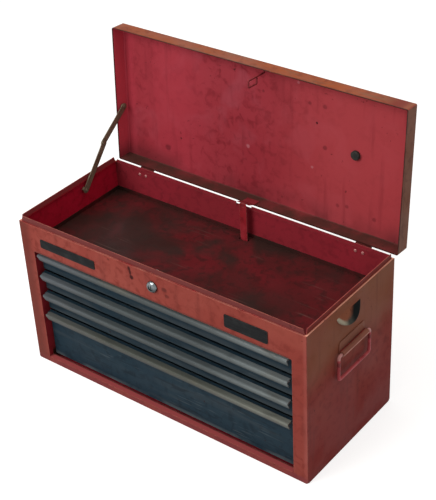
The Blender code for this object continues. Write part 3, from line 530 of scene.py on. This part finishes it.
inner = enamel(f, (154, 42, 50), (144, 37, 45), (130, 33, 40))
# Painted light on the sill's upper face; next, painted shade low on the sill's inner edge.
inner = f.paint(f.both(looks_up(f), f.span(z, *SILL)), inner, (166, 76, 76))
inner = f.paint(f.both(f.span(y, *SILL_DEPTH), f.span(z, 0.03, 0.02)), inner, GRIME_AND_SHADE_TONE)
colour = f.mix(outside, inner, shell)
rim, ledge = rim_and_ledge(f, z)
colour = f.paint(rim, colour, (118, 58, 56))
# The ledge: rubbed by the lid, and painted paler as painted light from above.
ledge = f.both(ledge, f.patches(22.0, 0.35, 0.6, 0.1, 0.95, detail=4.0))
colour = f.paint(ledge, colour, (168, 102, 90))
colour = chips(f, colour, 0.7)
colour = grime_and_shade(f, colour, 0.012, 0.5)
colour = rub(f, colour, (178, 108, 92), 0.0012)
finishes["case_front"] = close_finish(f, colour)
print("ledge at z =", LEDGE_TOP)

# %% [markdown]
# ## Case sides
# The ends were the same red. Near the top, where hands and sun reach them, they have gone olive brown;
# lower down they stay a deep red. Their inner faces, under the lid, keep the fresh crimson. A face that
# looks away from the middle of the chest is an outer one, which also sorts out the two skins of the
# pressed half-moon. The handle's bracket takes the same paint, rubbed bare on the barrel that the handle
# turns in.

# %% Case sides, outside
SIDE = -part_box("left_side_panel")[0].x
BROWNED, DEEP_RED = (0.175, 0.265), (0.19, 0.06)
BRACKET_TOP, BARREL = (0.268, 0.262), (0.2262, 0.2330)

f = Finish("case_side", Specular_IOR_Level=0.03)
x, y, z = (f.axis(letter) for letter in "XYZ")
reach = f.calc("ABSOLUTE", x)
outward = f.both(f.axis("X", f.facing), f.calc("SIGN", x))
bracket = f.span(reach, SIDE + 0.0001, SIDE + 0.0003)
bracket_edge = f.both(bracket, f.span(outward, -0.5, -0.3))
outside = f.calc("MAXIMUM", f.span(outward, 0.02, 0.12), bracket_edge)
shell = enamel(f, (135, 53, 48), (140, 60, 51), (114, 44, 40))
browned = f.both(f.span(z, *BROWNED), f.patches(7.0, 0.2, 0.6, 0.6, 1.0))
shell = f.paint(browned, shell, (138, 84, 62))
shell = f.paint(f.span(z, *DEEP_RED), shell, (129, 41, 39), 0.7)
shell = streaks(f, shell, (96, 44, 38), 0.45)
shell = f.paint(f.both(bracket, f.span(z, *BRACKET_TOP)), shell, (152, 112, 98), 0.35)
barrel = f.both(f.span(reach, SIDE + 0.0035, SIDE + 0.006), f.band(z, *BARREL, 0.0015))
rubbed = f.patches(60.0, 0.3, 0.6, 0.45, 0.95, detail=4.0)
shell = f.paint(f.both(barrel, rubbed), shell, (206, 148, 136))
print("side wall at x =", round(SIDE, 4))

# %% [markdown]
# ## Case sides, inside and ledge
# Inside and outside now meet in one colour, and the rim and ledge are laid over both as on the front; the
# ledge is painted pale, partly as painted light from above. The worn edges are kept to the wall itself: a
# bracket lies a little further out, and bare lines along its bends would make it look drawn.

# %% Case sides, inside and ledge
inner = enamel(f, (188, 29, 54), (176, 27, 49), (158, 25, 43))
colour = f.mix(outside, inner, shell)
rim, ledge = rim_and_ledge(f, z)
colour = f.mix(rim, colour, f.mix(outside, srgb(152, 64, 66), srgb(120, 48, 43)))
# The ledge: painted pale, partly as painted light from above.
ledge = f.both(ledge, f.patches(22.0, 0.3, 0.6, 0.5, 1.0, detail=4.0))
colour = f.paint(ledge, colour, (228, 164, 142))
colour = chips(f, colour, 0.6)
colour = grime_and_shade(f, colour, 0.010, 0.2)
wall = f.span(reach, SIDE + CORE, SIDE + SKIN)
colour = f.paint(f.both(edges(f, 0.0012, 0.6), wall), colour, (170, 104, 86))
print("wall ends at", round(SIDE + CORE, 4), "from the middle")

# %% [markdown]
# ## Rubbed rim of the half-moon
# The right wall has a half-moon pressed outwards. Its round rim stands proud, so it is rubbed through to
# the steel, which is painted bright in front as a painted highlight, and dark behind and black in the
# middle as painted shade. A separate ring of mesh would have an edge of its own; here the distance from
# the middle of the arc, made a little uneven by noise, says where the paint is gone.

# %% Rubbed rim of the half-moon
SCOOP_Y, SCOOP_Z, SCOOP_RADIUS = -0.0118, 0.3234, 0.0411
SCOOP_HALF = 0.026
RIM_FRONT, RIM_REAR = 0.008, 0.034

across = f.calc("SUBTRACT", y, SCOOP_Y)
along = f.calc("SUBTRACT", z, SCOOP_Z)
squares = f.calc("ADD", f.calc("POWER", across, 2.0), f.calc("POWER", along, 2.0))
wobble = f.calc("MULTIPLY", f.calc("SUBTRACT", f.noise(70.0), 0.5), 0.006)
from_centre = f.calc("ADD", f.calc("SQRT", squares), wobble)
proud = f.both(f.span(reach, SIDE + 0.0004, SIDE + 0.0010), f.span(z, 0.262, 0.268))
width = f.span(across, -SCOOP_HALF, SCOOP_HALF, RIM_FRONT, RIM_REAR)
depth = f.calc("DIVIDE", f.calc("SUBTRACT", SCOOP_RADIUS - 0.0015, from_centre), width)
worn = f.both(proud, outside, f.span(depth, 1.0, 0.45))
# Bare steel with a painted highlight in front and painted shade behind and in the middle.
steel_highlight_and_shade = f.mix(f.span(across, -SCOOP_HALF, -0.010), srgb(172, 162, 142), srgb(66, 66, 61))
steel_highlight_and_shade = f.paint(f.span(across, -0.008, 0.008), steel_highlight_and_shade, (17, 20, 20))
colour = f.mix(worn, colour, steel_highlight_and_shade)
finishes["case_side"] = close_finish(f, colour)
print("half-moon rim radius:", SCOOP_RADIUS)

# %% [markdown]
# ## Back and bottom
# The back wall is crimson where it looks into the till and duller outside, with runs of dirt. The pan
# under the case sees little wear and shares the finish. As on the front, depth in the sheet tells the two
# sides apart, which is simpler than a second solid.

# %% Back and bottom
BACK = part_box("back_panel")[1].y

f = Finish("case_back", Specular_IOR_Level=0.05)
within = f.span(f.axis("Y"), BACK - SKIN, BACK - CORE)
fresh = enamel(f, (146, 41, 52), (138, 42, 50), (126, 36, 45))
weathered = enamel(f, (138, 46, 45), (144, 57, 53), (127, 42, 41))
weathered = streaks(f, weathered, (84, 32, 30), 0.55)
colour = f.mix(within, weathered, fresh)
colour = chips(f, colour, 0.7)
colour = grime_and_shade(f, colour, 0.015, 0.5)
colour = rub(f, colour, (158, 92, 84), 0.0012)
finishes["case_back"] = close_finish(f, colour)
print("back wall at y =", round(BACK, 4))

# %% [markdown]
# ## Till floor
# The floor of the till is nearly black with years of oil and metal dust, and it has a few long scratches
# where heavy things were dragged. A dark colour alone would look like a hole. Ragged oil over the old
# red, and deeper dents than elsewhere, keep it a sheet of painted steel.

# %% Till floor
f = Finish("till", Specular_IOR_Level=0.08)
colour = enamel(f, (92, 28, 32), (80, 28, 30), (60, 26, 26), cloud=10.0)
oil = f.patches(6.0, 0.38, 0.62, 0.0, 0.9, detail=6.0, distort=0.9)
colour = f.paint(oil, colour, (46, 33, 30))
colour = scratches(f, colour, (104, 82, 76), 0.3, (9, 260, 14))
colour = chips(f, colour, 0.9, 110.0)
colour = grime_and_shade(f, colour, 0.03, 0.8)
finishes["till"] = close_finish(f, colour, (0.3, 0.62), dents=0.0012)
print("till floor finished")

# %% [markdown]
# ## Lid, turned back to shut
# The lid stands open in the frame, a little past upright. Its paint is easier to describe on a shut lid,
# where the top is up and the skirts hang down. A Mapping node turns its points back about the hinge pin,
# and plain heights and depths then tell each outer face from the inside. Sorting faces by hand would do
# the same, but not for the rounded edges between them.

# %% Lid, turned back to shut
PIN = Vector((0.0, 0.144, 0.322))
LID_OPEN = math.radians(93.25)
LID_FRONT, LID_BACK, LID_TOP = -0.144, 0.140, 0.3625
LID_END, LID_CORE = SIDE - 0.0001, 0.0008


def lid_point(x, y, z):
    """A point of the shut lid, where it stands when the lid is open."""
    return PIN + Matrix.Rotation(-LID_OPEN, 3, "X") @ (Vector((x, y, z)) - PIN)


def shut_place(f):
    """The finish's coordinates, turned back to the shut lid."""
    turn = Matrix.Rotation(LID_OPEN, 3, "X")
    feeds = {"Vector": f.place, "Location": PIN - turn @ PIN, "Rotation": (LID_OPEN, 0, 0)}
    return f.add("Mapping", feeds).outputs[0]


f = Finish("lid", Specular_IOR_Level=0.05)
shut = f.add("SeparateXYZ", {0: shut_place(f)})
x, y, z = (shut.outputs[letter] for letter in "XYZ")
outer_top = f.span(z, LID_TOP - LID_CORE, LID_TOP - SKIN)
outer_end = f.span(f.calc("ABSOLUTE", x), LID_END - LID_CORE, LID_END - SKIN)
outer_front = f.span(y, LID_FRONT + LID_CORE, LID_FRONT + SKIN)
outer_back = f.span(y, LID_BACK - LID_CORE, LID_BACK - SKIN)
print("lid opens by", round(math.degrees(LID_OPEN), 2), "degrees")

# %% [markdown]
# ## Lid, inside
# Inside, the lid is crimson with paler, purplish clouds, lighter to the right and to the left of the
# middle. Fine streaks run down it. One even crimson would look like plastic; the slow change from end to
# end and the small clouds are what makes it read as old paint.

# %% Lid, inside
RIGHT_BLOOM = (-0.04, 0.20)
LEFT_BLOOM, LEFT_FADE = (-0.08, -0.20), (-0.31, -0.22)

inside = enamel(f, (151, 47, 56), (159, 55, 64), (126, 36, 44), cloud=5.5)
bloom = f.patches(13.0, 0.48, 0.70, 0.0, 0.7, detail=5.0, distort=0.7)
inside = f.paint(bloom, inside, (163, 68, 78))
inside = f.paint(f.span(x, *RIGHT_BLOOM), inside, (180, 70, 74), 0.72)
left_bloom = f.both(f.span(x, *LEFT_BLOOM, 0.0, 0.6), f.span(x, *LEFT_FADE, 0.2, 1.0))
inside = f.paint(left_bloom, inside, (180, 60, 72))
inside = streaks(f, inside, (116, 36, 42), 0.4, (55, 55, 4))
print("lid is palest from x =", RIGHT_BLOOM[1])

# %% [markdown]
# ## Lid, spots, painted light and dark rear edge
# A few dark spots and pale knocks lie on the inside; each has its place, as the marks by the lock do. The
# inside of the left skirt and the strip beside it are painted lighter than their neighbours, as painted
# light. The rear skirt hangs over the hinges and is painted dark brown, and dirt creeps up the lower part
# of the lid.

# %% Lid, spots, painted light and dark rear edge
DARK_SPOTS = (
    (0.1296, -0.0535, 0.0030, 0.95), (0.1134, -0.0886, 0.0050, 0.40), (0.1456, -0.0892, 0.0065, 0.40),
    (0.1485, -0.0088, 0.0060, 0.45), (0.2588, 0.1046, 0.0060, 0.40), (0.2000, 0.0960, 0.0050, 0.35),
    (-0.2240, 0.0960, 0.0090, 0.45), (0.0100, -0.0860, 0.0040, 0.40), (0.1800, 0.1000, 0.0050, 0.35),
)
PALE_SPOTS = (
    (0.1216, 0.0379, 0.0035, 0.5), (-0.0249, 0.0368, 0.0055, 0.5), (0.0880, -0.1220, 0.0040, 0.5),
)
LOWER_PART, REAR_SKIRT = (0.090, 0.139), (0.1366, 0.1382)

for spots, tone in ((DARK_SPOTS, (62, 22, 26)), (PALE_SPOTS, (190, 120, 126))):
    for spot_x, spot_y, size, amount in spots:
        mark = f.stain(lid_point(spot_x, spot_y, LID_TOP), (size, MARK_DEPTH, size))
        inside = f.paint(mark, inside, tone, amount)
# Painted light: the strip beside the left skirt and the skirt's inside are painted lighter.
inside = f.paint(f.span(x, 0.034 - SIDE, 0.012 - SIDE), inside, (196, 68, 82), 0.6)
inside = f.paint(f.span(x, 0.004 - SIDE, 0.002 - SIDE), inside, (222, 84, 100), 0.9)
creeping = f.both(f.span(y, *LOWER_PART), f.patches(10.0, 0.32, 0.60, detail=5.0))
inside = f.paint(creeping, inside, (84, 38, 40), 0.55)
# The rear skirt is painted dark brown.
rear_skirt = f.both(f.span(y, *REAR_SKIRT), f.patches(18.0, 0.3, 0.6, 0.5, 0.95, detail=4.0))
inside = f.paint(rear_skirt, inside, (74, 48, 42))
print("spots inside the lid:", len(DARK_SPOTS) + len(PALE_SPOTS))

# %% [markdown]
# ## Lid, outside
# The front skirt, which faces up when the lid is open, has faded and is painted orange brown, partly as
# painted warm light from above; the end skirts are a dull brown, and the top is scratched red. All of
# them go over the inside one by one, each with the mask of its face, and the hem along the open edge is
# painted dark as painted shade.

# %% Lid, outside
LID_HEM = LID_TOP - 0.0335
REDDER_END, REDDER_STOP = (0.270, 0.305), (0.326, 0.312)

ends = enamel(f, (134, 84, 64), (126, 82, 64), (108, 64, 50))
ends = streaks(f, ends, (84, 52, 44), 0.6, (12, 160, 3))
# Front skirt: faded paint, painted orange brown partly as painted warm light from above.
faded_and_lit_skirt = enamel(f, (153, 78, 44), (145, 80, 57), (124, 62, 42), cloud=12.0)
weathered = f.patches(1.0, 0.50, 0.66, 0.0, 0.6, detail=5.0, stretch=(16, 70, 70), distort=0.6)
faded_and_lit_skirt = f.paint(weathered, faded_and_lit_skirt, (128, 88, 66))
faded_and_lit_skirt = f.paint(f.both(f.span(x, *REDDER_END), f.span(x, *REDDER_STOP)), faded_and_lit_skirt, (124, 52, 40))
faded_and_lit_skirt = streaks(f, faded_and_lit_skirt, (118, 66, 46), 0.5, (40, 140, 40))
roof = enamel(f, (142, 54, 49), (149, 68, 59), (131, 50, 46))
roof = scratches(f, roof, (176, 120, 108), 0.5, (260, 30, 18))
roof = scratches(f, roof, (90, 38, 36), 0.6, (18, 30, 240))
colour = inside
for face, coat in ((outer_back, roof), (outer_end, ends), (outer_front, faded_and_lit_skirt), (outer_top, roof)):
    colour = f.mix(face, colour, coat)
colour = chips(f, colour, 0.7)
# Painted shade along the hem of the open edge.
hem_shade_patches = f.patches(26.0, 0.25, 0.5, 0.4, 0.95, detail=4.0)
hem = f.both(f.span(z, LID_HEM + 0.0030, LID_HEM + 0.0010), hem_shade_patches)
colour = f.paint(hem, colour, (60, 30, 26))
colour = grime_and_shade(f, colour, 0.006, 0.25, (80, 28, 30))
colour = rub(f, colour, (88, 48, 38), 0.0011, 0.7, amount=0.8)
finishes["lid"] = close_finish(f, colour)
print("lid hem at z =", round(LID_HEM, 4), "when shut")

# %% [markdown]
# ## Fittings under the lid
# The catch, the tongue, the hinges and the bar that locks the drawers were painted along with the rest.
# They are handled or rub on something each time the lid moves, so their paint is darker and shows metal
# at the edges. The three differ only in tone, so one loop makes them all.

# %% Lid fittings, hinges and lock bar
PALER = 12
FITTING_TONES = {
    "lid_fittings": ((124, 38, 44), (104, 32, 38), (112, 60, 56)),
    "hinge": ((116, 44, 42), (96, 36, 36), (150, 132, 120)),
    "lock_bar": ((146, 34, 42), (116, 28, 34), (160, 112, 104)),
}
for name, (coat, mottled, bare) in FITTING_TONES.items():
    f = Finish(name, Specular_IOR_Level=0.08)
    faded = [channel + PALER for channel in coat]
    colour = enamel(f, coat, faded, mottled, cloud=25.0)
    colour = chips(f, colour, 0.8, 260.0)
    colour = rub(f, colour, bare, 0.0008, 0.6, 180.0)
    finishes[name] = close_finish(f, colour)
print("fittings finished:", list(FITTING_TONES))

# %% [markdown]
# ## Drawers
# The drawers are slate blue enamel under a film of dust, scuffed along their length by whatever was
# carried past. Noise that is stretched along the front gives dust and scuffs their direction. Below each
# pull the lower part of the front is painted paler as painted light, where it is clear of the pull's
# shadow, most of all at its right end; the pulls stand at an even pitch, so one remainder finds all of
# them.

# %% Drawers
PULL_TOP, PULL_PITCH = 0.2645, 0.047
DRAWER_FACE = -0.124
LOWEST_EDGE, UPPER_DRAWERS = (0.024, 0.016), (0.120, 0.126)
LIT_DROP, LIT_END = (0.028, 0.042), (0.14, 0.23)


def below_pull_top(f):
    """How far a point lies below the top of the pull over it."""
    return f.calc("MODULO", f.calc("SUBTRACT", PULL_TOP, f.axis("Z")), PULL_PITCH)


f = Finish("drawer", Specular_IOR_Level=0.06)
x, y, z = (f.axis(letter) for letter in "XYZ")
colour = enamel(f, (32, 50, 61), (37, 54, 64), (28, 41, 50), cloud=9.0)
dust = f.patches(1.0, 0.5, 0.74, 0.0, 0.45, detail=5.0, stretch=(5, 26, 44), distort=0.6)
colour = f.paint(dust, colour, (64, 71, 75))
scuff = f.patches(1.0, 0.56, 0.72, 0.0, 0.6, detail=4.0, stretch=(12, 30, 120), distort=0.8)
colour = f.paint(scuff, colour, (25, 33, 40))
colour = scratches(f, colour, (92, 99, 102), 0.45, (16, 30, 330))
lowest_edge = f.both(f.span(z, *LOWEST_EDGE), f.patches(20.0, 0.35, 0.62, detail=4.0))
colour = f.paint(lowest_edge, colour, (96, 104, 106), 0.6)
# Painted light on the lower part of the front under each pull.
strip = f.both(f.span(below_pull_top(f), *LIT_DROP), f.span(z, *UPPER_DRAWERS))
strip = f.both(strip, f.span(y, DRAWER_FACE + 0.0008, DRAWER_FACE))
lit_patches = f.patches(1.0, 0.35, 0.62, 0.15, 0.85, detail=4.0, stretch=(9, 30, 60))
lit_patches = f.calc("MAXIMUM", lit_patches, f.span(x, *LIT_END, 0.0, 0.95))
colour = f.paint(f.both(strip, lit_patches), colour, (64, 72, 77))
colour = chips(f, colour, 0.8, 130.0)
colour = grime_and_shade(f, colour, 0.02, 0.6, (22, 22, 22))
colour = rub(f, colour, (86, 94, 96), 0.0012)
finishes["drawer"] = close_finish(f, colour, (0.42, 0.62))
print("drawer pitch:", PULL_PITCH)

# %% [markdown]
# ## Pulls
# The pulls are lengths of extruded aluminium, pressed over the top of each front: bare metal, dulled to a
# soft grey in the middle and brighter at the ends. Fully metallic aluminium would mirror the white room,
# and these are too dull for that, so Metallic stays low. Lines along the extrusion come from noise that
# is stretched far, the lower hem, which turns down, is painted darker as painted shade, and the lowest
# pull is a little yellower than the rest.

# %% Pulls
LEFT_END, RIGHT_END = (-0.12, -0.25), (0.05, 0.26)
LOWEST_PULL, SHADED_HEM = (0.135, 0.130), (0.0095, 0.0140)
YELLOWER = (1.06, 0.97, 0.82, 1.0)

f = Finish("pull", Metallic=0.2, Specular_IOR_Level=0.15)
x = f.axis("X")
colour = f.mix(f.span(x, *LEFT_END), srgb(82, 88, 88), srgb(94, 99, 103))
colour = f.paint(f.span(x, *RIGHT_END), colour, (126, 133, 133))
grain = f.patches(1.0, 0.35, 0.7, 0.0, 0.5, detail=4.0, stretch=(3, 500, 500))
colour = f.paint(grain, colour, (82, 88, 90))
smudge = f.patches(1.0, 0.46, 0.72, 0.0, 0.6, detail=5.0, stretch=(14, 40, 40), distort=0.8)
colour = f.paint(smudge, colour, (72, 77, 78))
colour = f.paint(f.patches(7.0, 0.54, 0.70, 0.0, 0.5, detail=4.0), colour, (108, 104, 92))
colour = f.mix(f.span(f.axis("Z"), *LOWEST_PULL), colour, YELLOWER, "MULTIPLY")
# Painted shade on the lower hem of each pull.
colour = f.paint(f.span(below_pull_top(f), *SHADED_HEM), colour, (58, 63, 66), 0.7)
colour = grime_and_shade(f, colour, 0.008, 0.7, (40, 42, 42))
colour = rub(f, colour, (132, 138, 138), 0.0008, 0.4, amount=0.6)
finishes["pull"] = close_finish(f, colour, (0.42, 0.62), peel=0.00006, dents=0.0002)
print("pulls finished")

# %% [markdown]
# ## Zinc plate
# The slides and the lock nut are zinc plated: grey with faint pale crystals, dull where grease has dried.
# Voronoi cells make good crystals, because each has one tone and a straight border. Metallic is one value
# all over, so it is set on the shader itself; only colour, roughness and bump change from place to place.

# %% Zinc plate
ZINC = (122, 119, 112)
CRYSTAL_SCALE = 190.0

for name, shade in (("slide", 0), ("hardware", 6)):
    f = Finish(name, Metallic=0.9)
    crystals = f.add("TexVoronoi", {"Vector": f.place, "Scale": CRYSTAL_SCALE}).outputs["Color"]
    grey = srgb(*(channel + shade for channel in ZINC))
    colour = f.mix(f.span(f.axis("X", crystals), 0.1, 0.9), grey, srgb(150, 146, 138))
    grease = f.patches(1.0, 0.46, 0.68, 0.0, 0.75, detail=5.0, stretch=(30, 6, 60))
    colour = f.paint(grease, colour, (62, 54, 46))
    colour = grime_and_shade(f, colour, 0.008, 0.7)
    finishes[name] = close_finish(f, colour, (0.32, 0.6), peel=0.00008, dents=0.0002)
print("crystals about", round(1000 / CRYSTAL_SCALE, 1), "mm across")

# %% [markdown]
# ## Lid stay
# The stay is plain steel, gone brown with oil and light rust. It is too dirty to shine, so it is mostly a
# painted brown with a little metal in it. Its edges are darker than its faces, the other way round from
# worn paint, because oil collects on them.

# %% Lid stay
f = Finish("stay", Metallic=0.2, Specular_IOR_Level=0.3)
colour = f.mix(f.patches(45.0, 0.35, 0.68, detail=5.0), srgb(118, 106, 86), srgb(134, 122, 100))
rust = f.patches(95.0, 0.56, 0.70, 0.0, 0.6, detail=4.0)
colour = f.paint(rust, colour, (104, 80, 60))
colour = rub(f, colour, (52, 46, 38), 0.0016, 0.8, 150.0, amount=0.7)
finishes["stay"] = close_finish(f, colour, (0.4, 0.66), peel=0.0001, dents=0.0002)
print("stay finished")

# %% [markdown]
# ## Lock
# The lock is chrome with a few tiny pits. Chrome shows mostly what is around it, and here that is a white
# room, so the lower half is painted a darker tone, a painted reflection that keeps the round form
# readable.

# %% Lock
DARK_BELOW = (0.3065, 0.2965)

f = Finish("lock", Metallic=1.0)
pits = f.patches(240.0, 0.62, 0.72, detail=4.0)
colour = f.mix(pits, srgb(118, 124, 126), srgb(74, 72, 70))
# Painted reflection: the lower half is painted dark.
colour = f.paint(f.span(f.axis("Z"), *DARK_BELOW), colour, (46, 52, 54), 0.85)
colour = grime_and_shade(f, colour, 0.004, 0.8, (40, 36, 34))
finishes["lock"] = close_finish(f, colour, (0.06, 0.2), peel=0.00002, dents=0.0001)
print("chrome is tarnished below z =", DARK_BELOW[0])

# %% [markdown]
# ## Front plates and buffer
# The two plates on the front are left bare: black, faintly grained, with a dusty bloom and pale corners.
# The buffer in the lid is plain rubber, rough all over. Both could be one flat black, but a little grain
# and dust keeps them from looking like holes.

# %% Front plates and buffer
f = Finish("badge", Specular_IOR_Level=0.06)
grained = f.patches(1.0, 0.35, 0.7, stretch=(30, 200, 420))
colour = f.mix(grained, srgb(21, 21, 23), srgb(31, 32, 33))
bloom = f.patches(42.0, 0.5, 0.72, 0.0, 0.4, detail=5.0, distort=0.5)
colour = f.paint(bloom, colour, (52, 54, 54))
colour = rub(f, colour, (86, 82, 78), 0.0010, 0.5, 140.0, amount=0.7)
finishes["badge"] = close_finish(f, colour, (0.34, 0.6), dents=0.0002)

f = Finish("buffer", Specular_IOR_Level=0.3)
colour = f.mix(f.patches(160.0, 0.35, 0.7, detail=5.0), srgb(30, 30, 28), srgb(52, 48, 44))
finishes["buffer"] = close_finish(f, colour, (0.65, 0.9), peel=0.0003, dents=0.0002)
print("plates and buffer finished")

# %% [markdown]
# ## Handles
# The handles have the same enamel as the case, faded to a pinkish red. Their shoulders, which turn in the
# brackets, are painted nearly white as a painted highlight, with a painted shadow just below. Height
# alone places both, since the handles hang down at rest; the coordinates swing with the handle, so the
# marks stay put when it is lifted.

# %% Handles
SHADOW_BELOW_SHOULDER, SHOULDER_HIGHLIGHT = (0.2090, 0.2215), (0.2225, 0.2265)

f = Finish("handle", Specular_IOR_Level=0.1)
z = f.axis("Z")
colour = enamel(f, (176, 66, 74), (184, 80, 84), (150, 54, 58), cloud=20.0)
colour = chips(f, colour, 0.8, 220.0)
# Painted shadow just below the shoulders, then a painted highlight on them.
colour = f.paint(f.band(z, *SHADOW_BELOW_SHOULDER, 0.003), colour, (70, 30, 30), 0.6)
colour = f.paint(f.span(z, *SHOULDER_HIGHLIGHT), colour, (205, 150, 145), 0.85)
colour = rub(f, colour, (190, 124, 114), 0.0010, 0.5, 120.0, amount=0.6)
finishes["handle"] = close_finish(f, colour, (0.34, 0.52))
print("handle shoulders from z =", SHOULDER_HIGHLIGHT[0])

# %% [markdown]
# ## Rivet heads
# The rivets inside the case were painted over once and have been rubbed pale since, with red left around
# the foot of each head, darkened there as painted shade. They are so small that fine noise and a shaded
# corner are all they need.

# %% Rivet finish
f = Finish("rivet", Metallic=0.3, Specular_IOR_Level=0.3)
colour = f.mix(f.patches(300.0, 0.4, 0.65, detail=4.0), srgb(200, 138, 134), srgb(158, 84, 84))
colour = grime_and_shade(f, colour, 0.002, 0.6, (92, 30, 34))
finishes["rivet"] = close_finish(f, colour, (0.3, 0.5), peel=0.00005, dents=0.0001)
print("finishes:", sorted(finishes))

# %% [markdown]
# ## Dress the solids
# The record names a material slot for each solid, so each one gets the finish of its slot. The solids
# have knife-sharp edges; real folded sheet never does. A Bevel modifier rounds them by a few tenths of a
# millimetre, which is enough to catch the light, and it leaves the mesh of the solid as it is.

# %% Dress the solids
ROUNDING = {"pull": 0.0004, "badge": 0.0005, "lid": 0.0004, "case_front": 0.0004, "case_side": 0.0004}
SHARP = math.radians(30)
slot_of = {piece["node"]: piece["material_slot"] for piece in frame["record"]["subparts"]}


def round_edges(obj, width):
    """A narrow rounding along every sharp edge."""
    modifier = obj.modifiers.new("rounded_edges", "BEVEL")
    modifier.width = width
    modifier.segments = 2
    modifier.limit_method = "ANGLE"
    modifier.angle_limit = SHARP
    modifier.harden_normals = True


for name, solid in nodes.items():
    slot = slot_of[name]
    solid.data.materials.clear()
    solid.data.materials.append(finishes[slot])
    if slot in ROUNDING:
        round_edges(solid, ROUNDING[slot])
print("solids dressed:", len(nodes))

# %% [markdown]
# ## A rivet
# Small domed rivets hold the hinges and the slides. A ready-made sphere would stand too proud; a rivet
# head is a shallow cap with a rolled rim. So each head is turned from a short profile, ring by ring, as
# on a lathe, and all heads of one fitting are one mesh, because they never move apart.

# %% A rivet
HEAD_PROFILE = ((1.0, 0.0), (1.0, 0.22), (0.94, 0.42), (0.78, 0.70), (0.52, 0.90), (0.26, 0.98))
HEAD_SIDES = 20
HEAD_SHARP = math.radians(50)


def rivet_head(mesh, centre, out, radius, rise):
    """Add one domed head that stands on a surface and looks along out."""
    out = Vector(out).normalized()
    across = out.orthogonal().normalized()
    other = out.cross(across)
    rings = []
    for share, lift in HEAD_PROFILE:
        ring = []
        for i in range(HEAD_SIDES):
            angle = 2 * math.pi * i / HEAD_SIDES
            spoke = across * math.cos(angle) + other * math.sin(angle)
            ring.append(mesh.verts.new(Vector(centre) + spoke * radius * share + out * rise * lift))
        rings.append(ring)
    for low_ring, high_ring in zip(rings, rings[1:]):
        for i in range(HEAD_SIDES):
            j = (i + 1) % HEAD_SIDES
            mesh.faces.new((low_ring[i], low_ring[j], high_ring[j], high_ring[i]))
    tip = mesh.verts.new(Vector(centre) + out * rise)
    for i in range(HEAD_SIDES):
        mesh.faces.new((rings[-1][i], rings[-1][(i + 1) % HEAD_SIDES], tip))
    mesh.faces.new(list(reversed(rings[0])))


def rivets(name, body, slot, heads, radius, rise, finish=None):
    """One piece with a head at each (centre, direction)."""
    mesh = bmesh.new()
    for centre, out in heads:
        rivet_head(mesh, centre, out, radius, rise)
    data = bpy.data.meshes.new(name)
    mesh.to_mesh(data)
    mesh.free()
    for face in data.polygons:
        face.use_smooth = True
    data.set_sharp_from_angle(angle=HEAD_SHARP)
    data.materials.append(finishes[finish or slot])
    piece = bpy.data.objects.new(name, data)
    scene.collection.objects.link(piece)
    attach(piece, body)
    return piece


made = []
print("a rivet head has", HEAD_SIDES * len(HEAD_PROFILE) + 1, "points")

# %% [markdown]
# ## Hinge rivets
# Each hinge has a pair of rivets in three places: inside the till, on the leaf behind the case, and on
# the leaf under the lid. The last pair rides on the lid's body. The lid is open in the frame, so its
# rivets are placed on the shut lid and turned with it, which keeps their numbers easy to read.

# %% Hinge rivets
SHEET = 0.0012
HINGE_X, HINGE_RIVET = 0.257, 0.008
INSIDE_Z, OUTSIDE_Z = 0.3150, 0.3092
LID_LEAF_Y, LID_LEAF_Z = 0.1415, 0.3490
LARGE_HEAD, SMALL_HEAD = (0.0034, 0.0014), (0.0030, 0.0011)

lid_rear = lid_point(0, 1, 0) - lid_point(0, 0, 0)
for side, x in (("left", -HINGE_X), ("right", HINGE_X)):
    leaf_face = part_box(f"hinge_case_leaf_{side}")[0].y + SHEET
    pair = (x - HINGE_RIVET, x + HINGE_RIVET)
    heads = [((px, BACK - SHEET, INSIDE_Z), (0, -1, 0)) for px in pair]
    made.append(rivets(f"hinge_rivets_inside_{side}", "case", "hinge", heads, *LARGE_HEAD, "rivet"))
    heads = [((px, leaf_face, OUTSIDE_Z), (0, 1, 0)) for px in pair]
    made.append(rivets(f"hinge_rivets_outside_{side}", "case", "hinge", heads, *SMALL_HEAD))
    heads = [(lid_point(px, LID_LEAF_Y, LID_LEAF_Z), lid_rear) for px in pair]
    made.append(rivets(f"hinge_rivets_lid_{side}", "lid", "hinge", heads, *SMALL_HEAD))
print("hinge rivets:", [piece.name for piece in made])

# %% [markdown]
# ## Slide rivets
# The fixed rails are riveted to the case near their front and rear ends, and the heads look into the
# drawer's space. They are flat, because the runner slides past them. Each rail's own box gives the
# height, so the rivets stay on the rails without a list of numbers.

# %% Slide rivets
RAIL_WEB = 0.3015
RAIL_ENDS = (-0.112, 0.119)
FLAT_HEAD = (0.0026, 0.0008)

for side, hand in (("left", -1), ("right", 1)):
    heads = []
    for number in range(1, 5):
        low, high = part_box(f"slide_rail_{side}_{number}")
        height = (low.z + high.z) / 2
        heads += [((hand * RAIL_WEB, end, height), (-hand, 0, 0)) for end in RAIL_ENDS]
    made.append(rivets(f"slide_rivets_{side}", "case", "hardware", heads, *FLAT_HEAD))
print("rivet pieces:", len(made))

# %% [markdown]
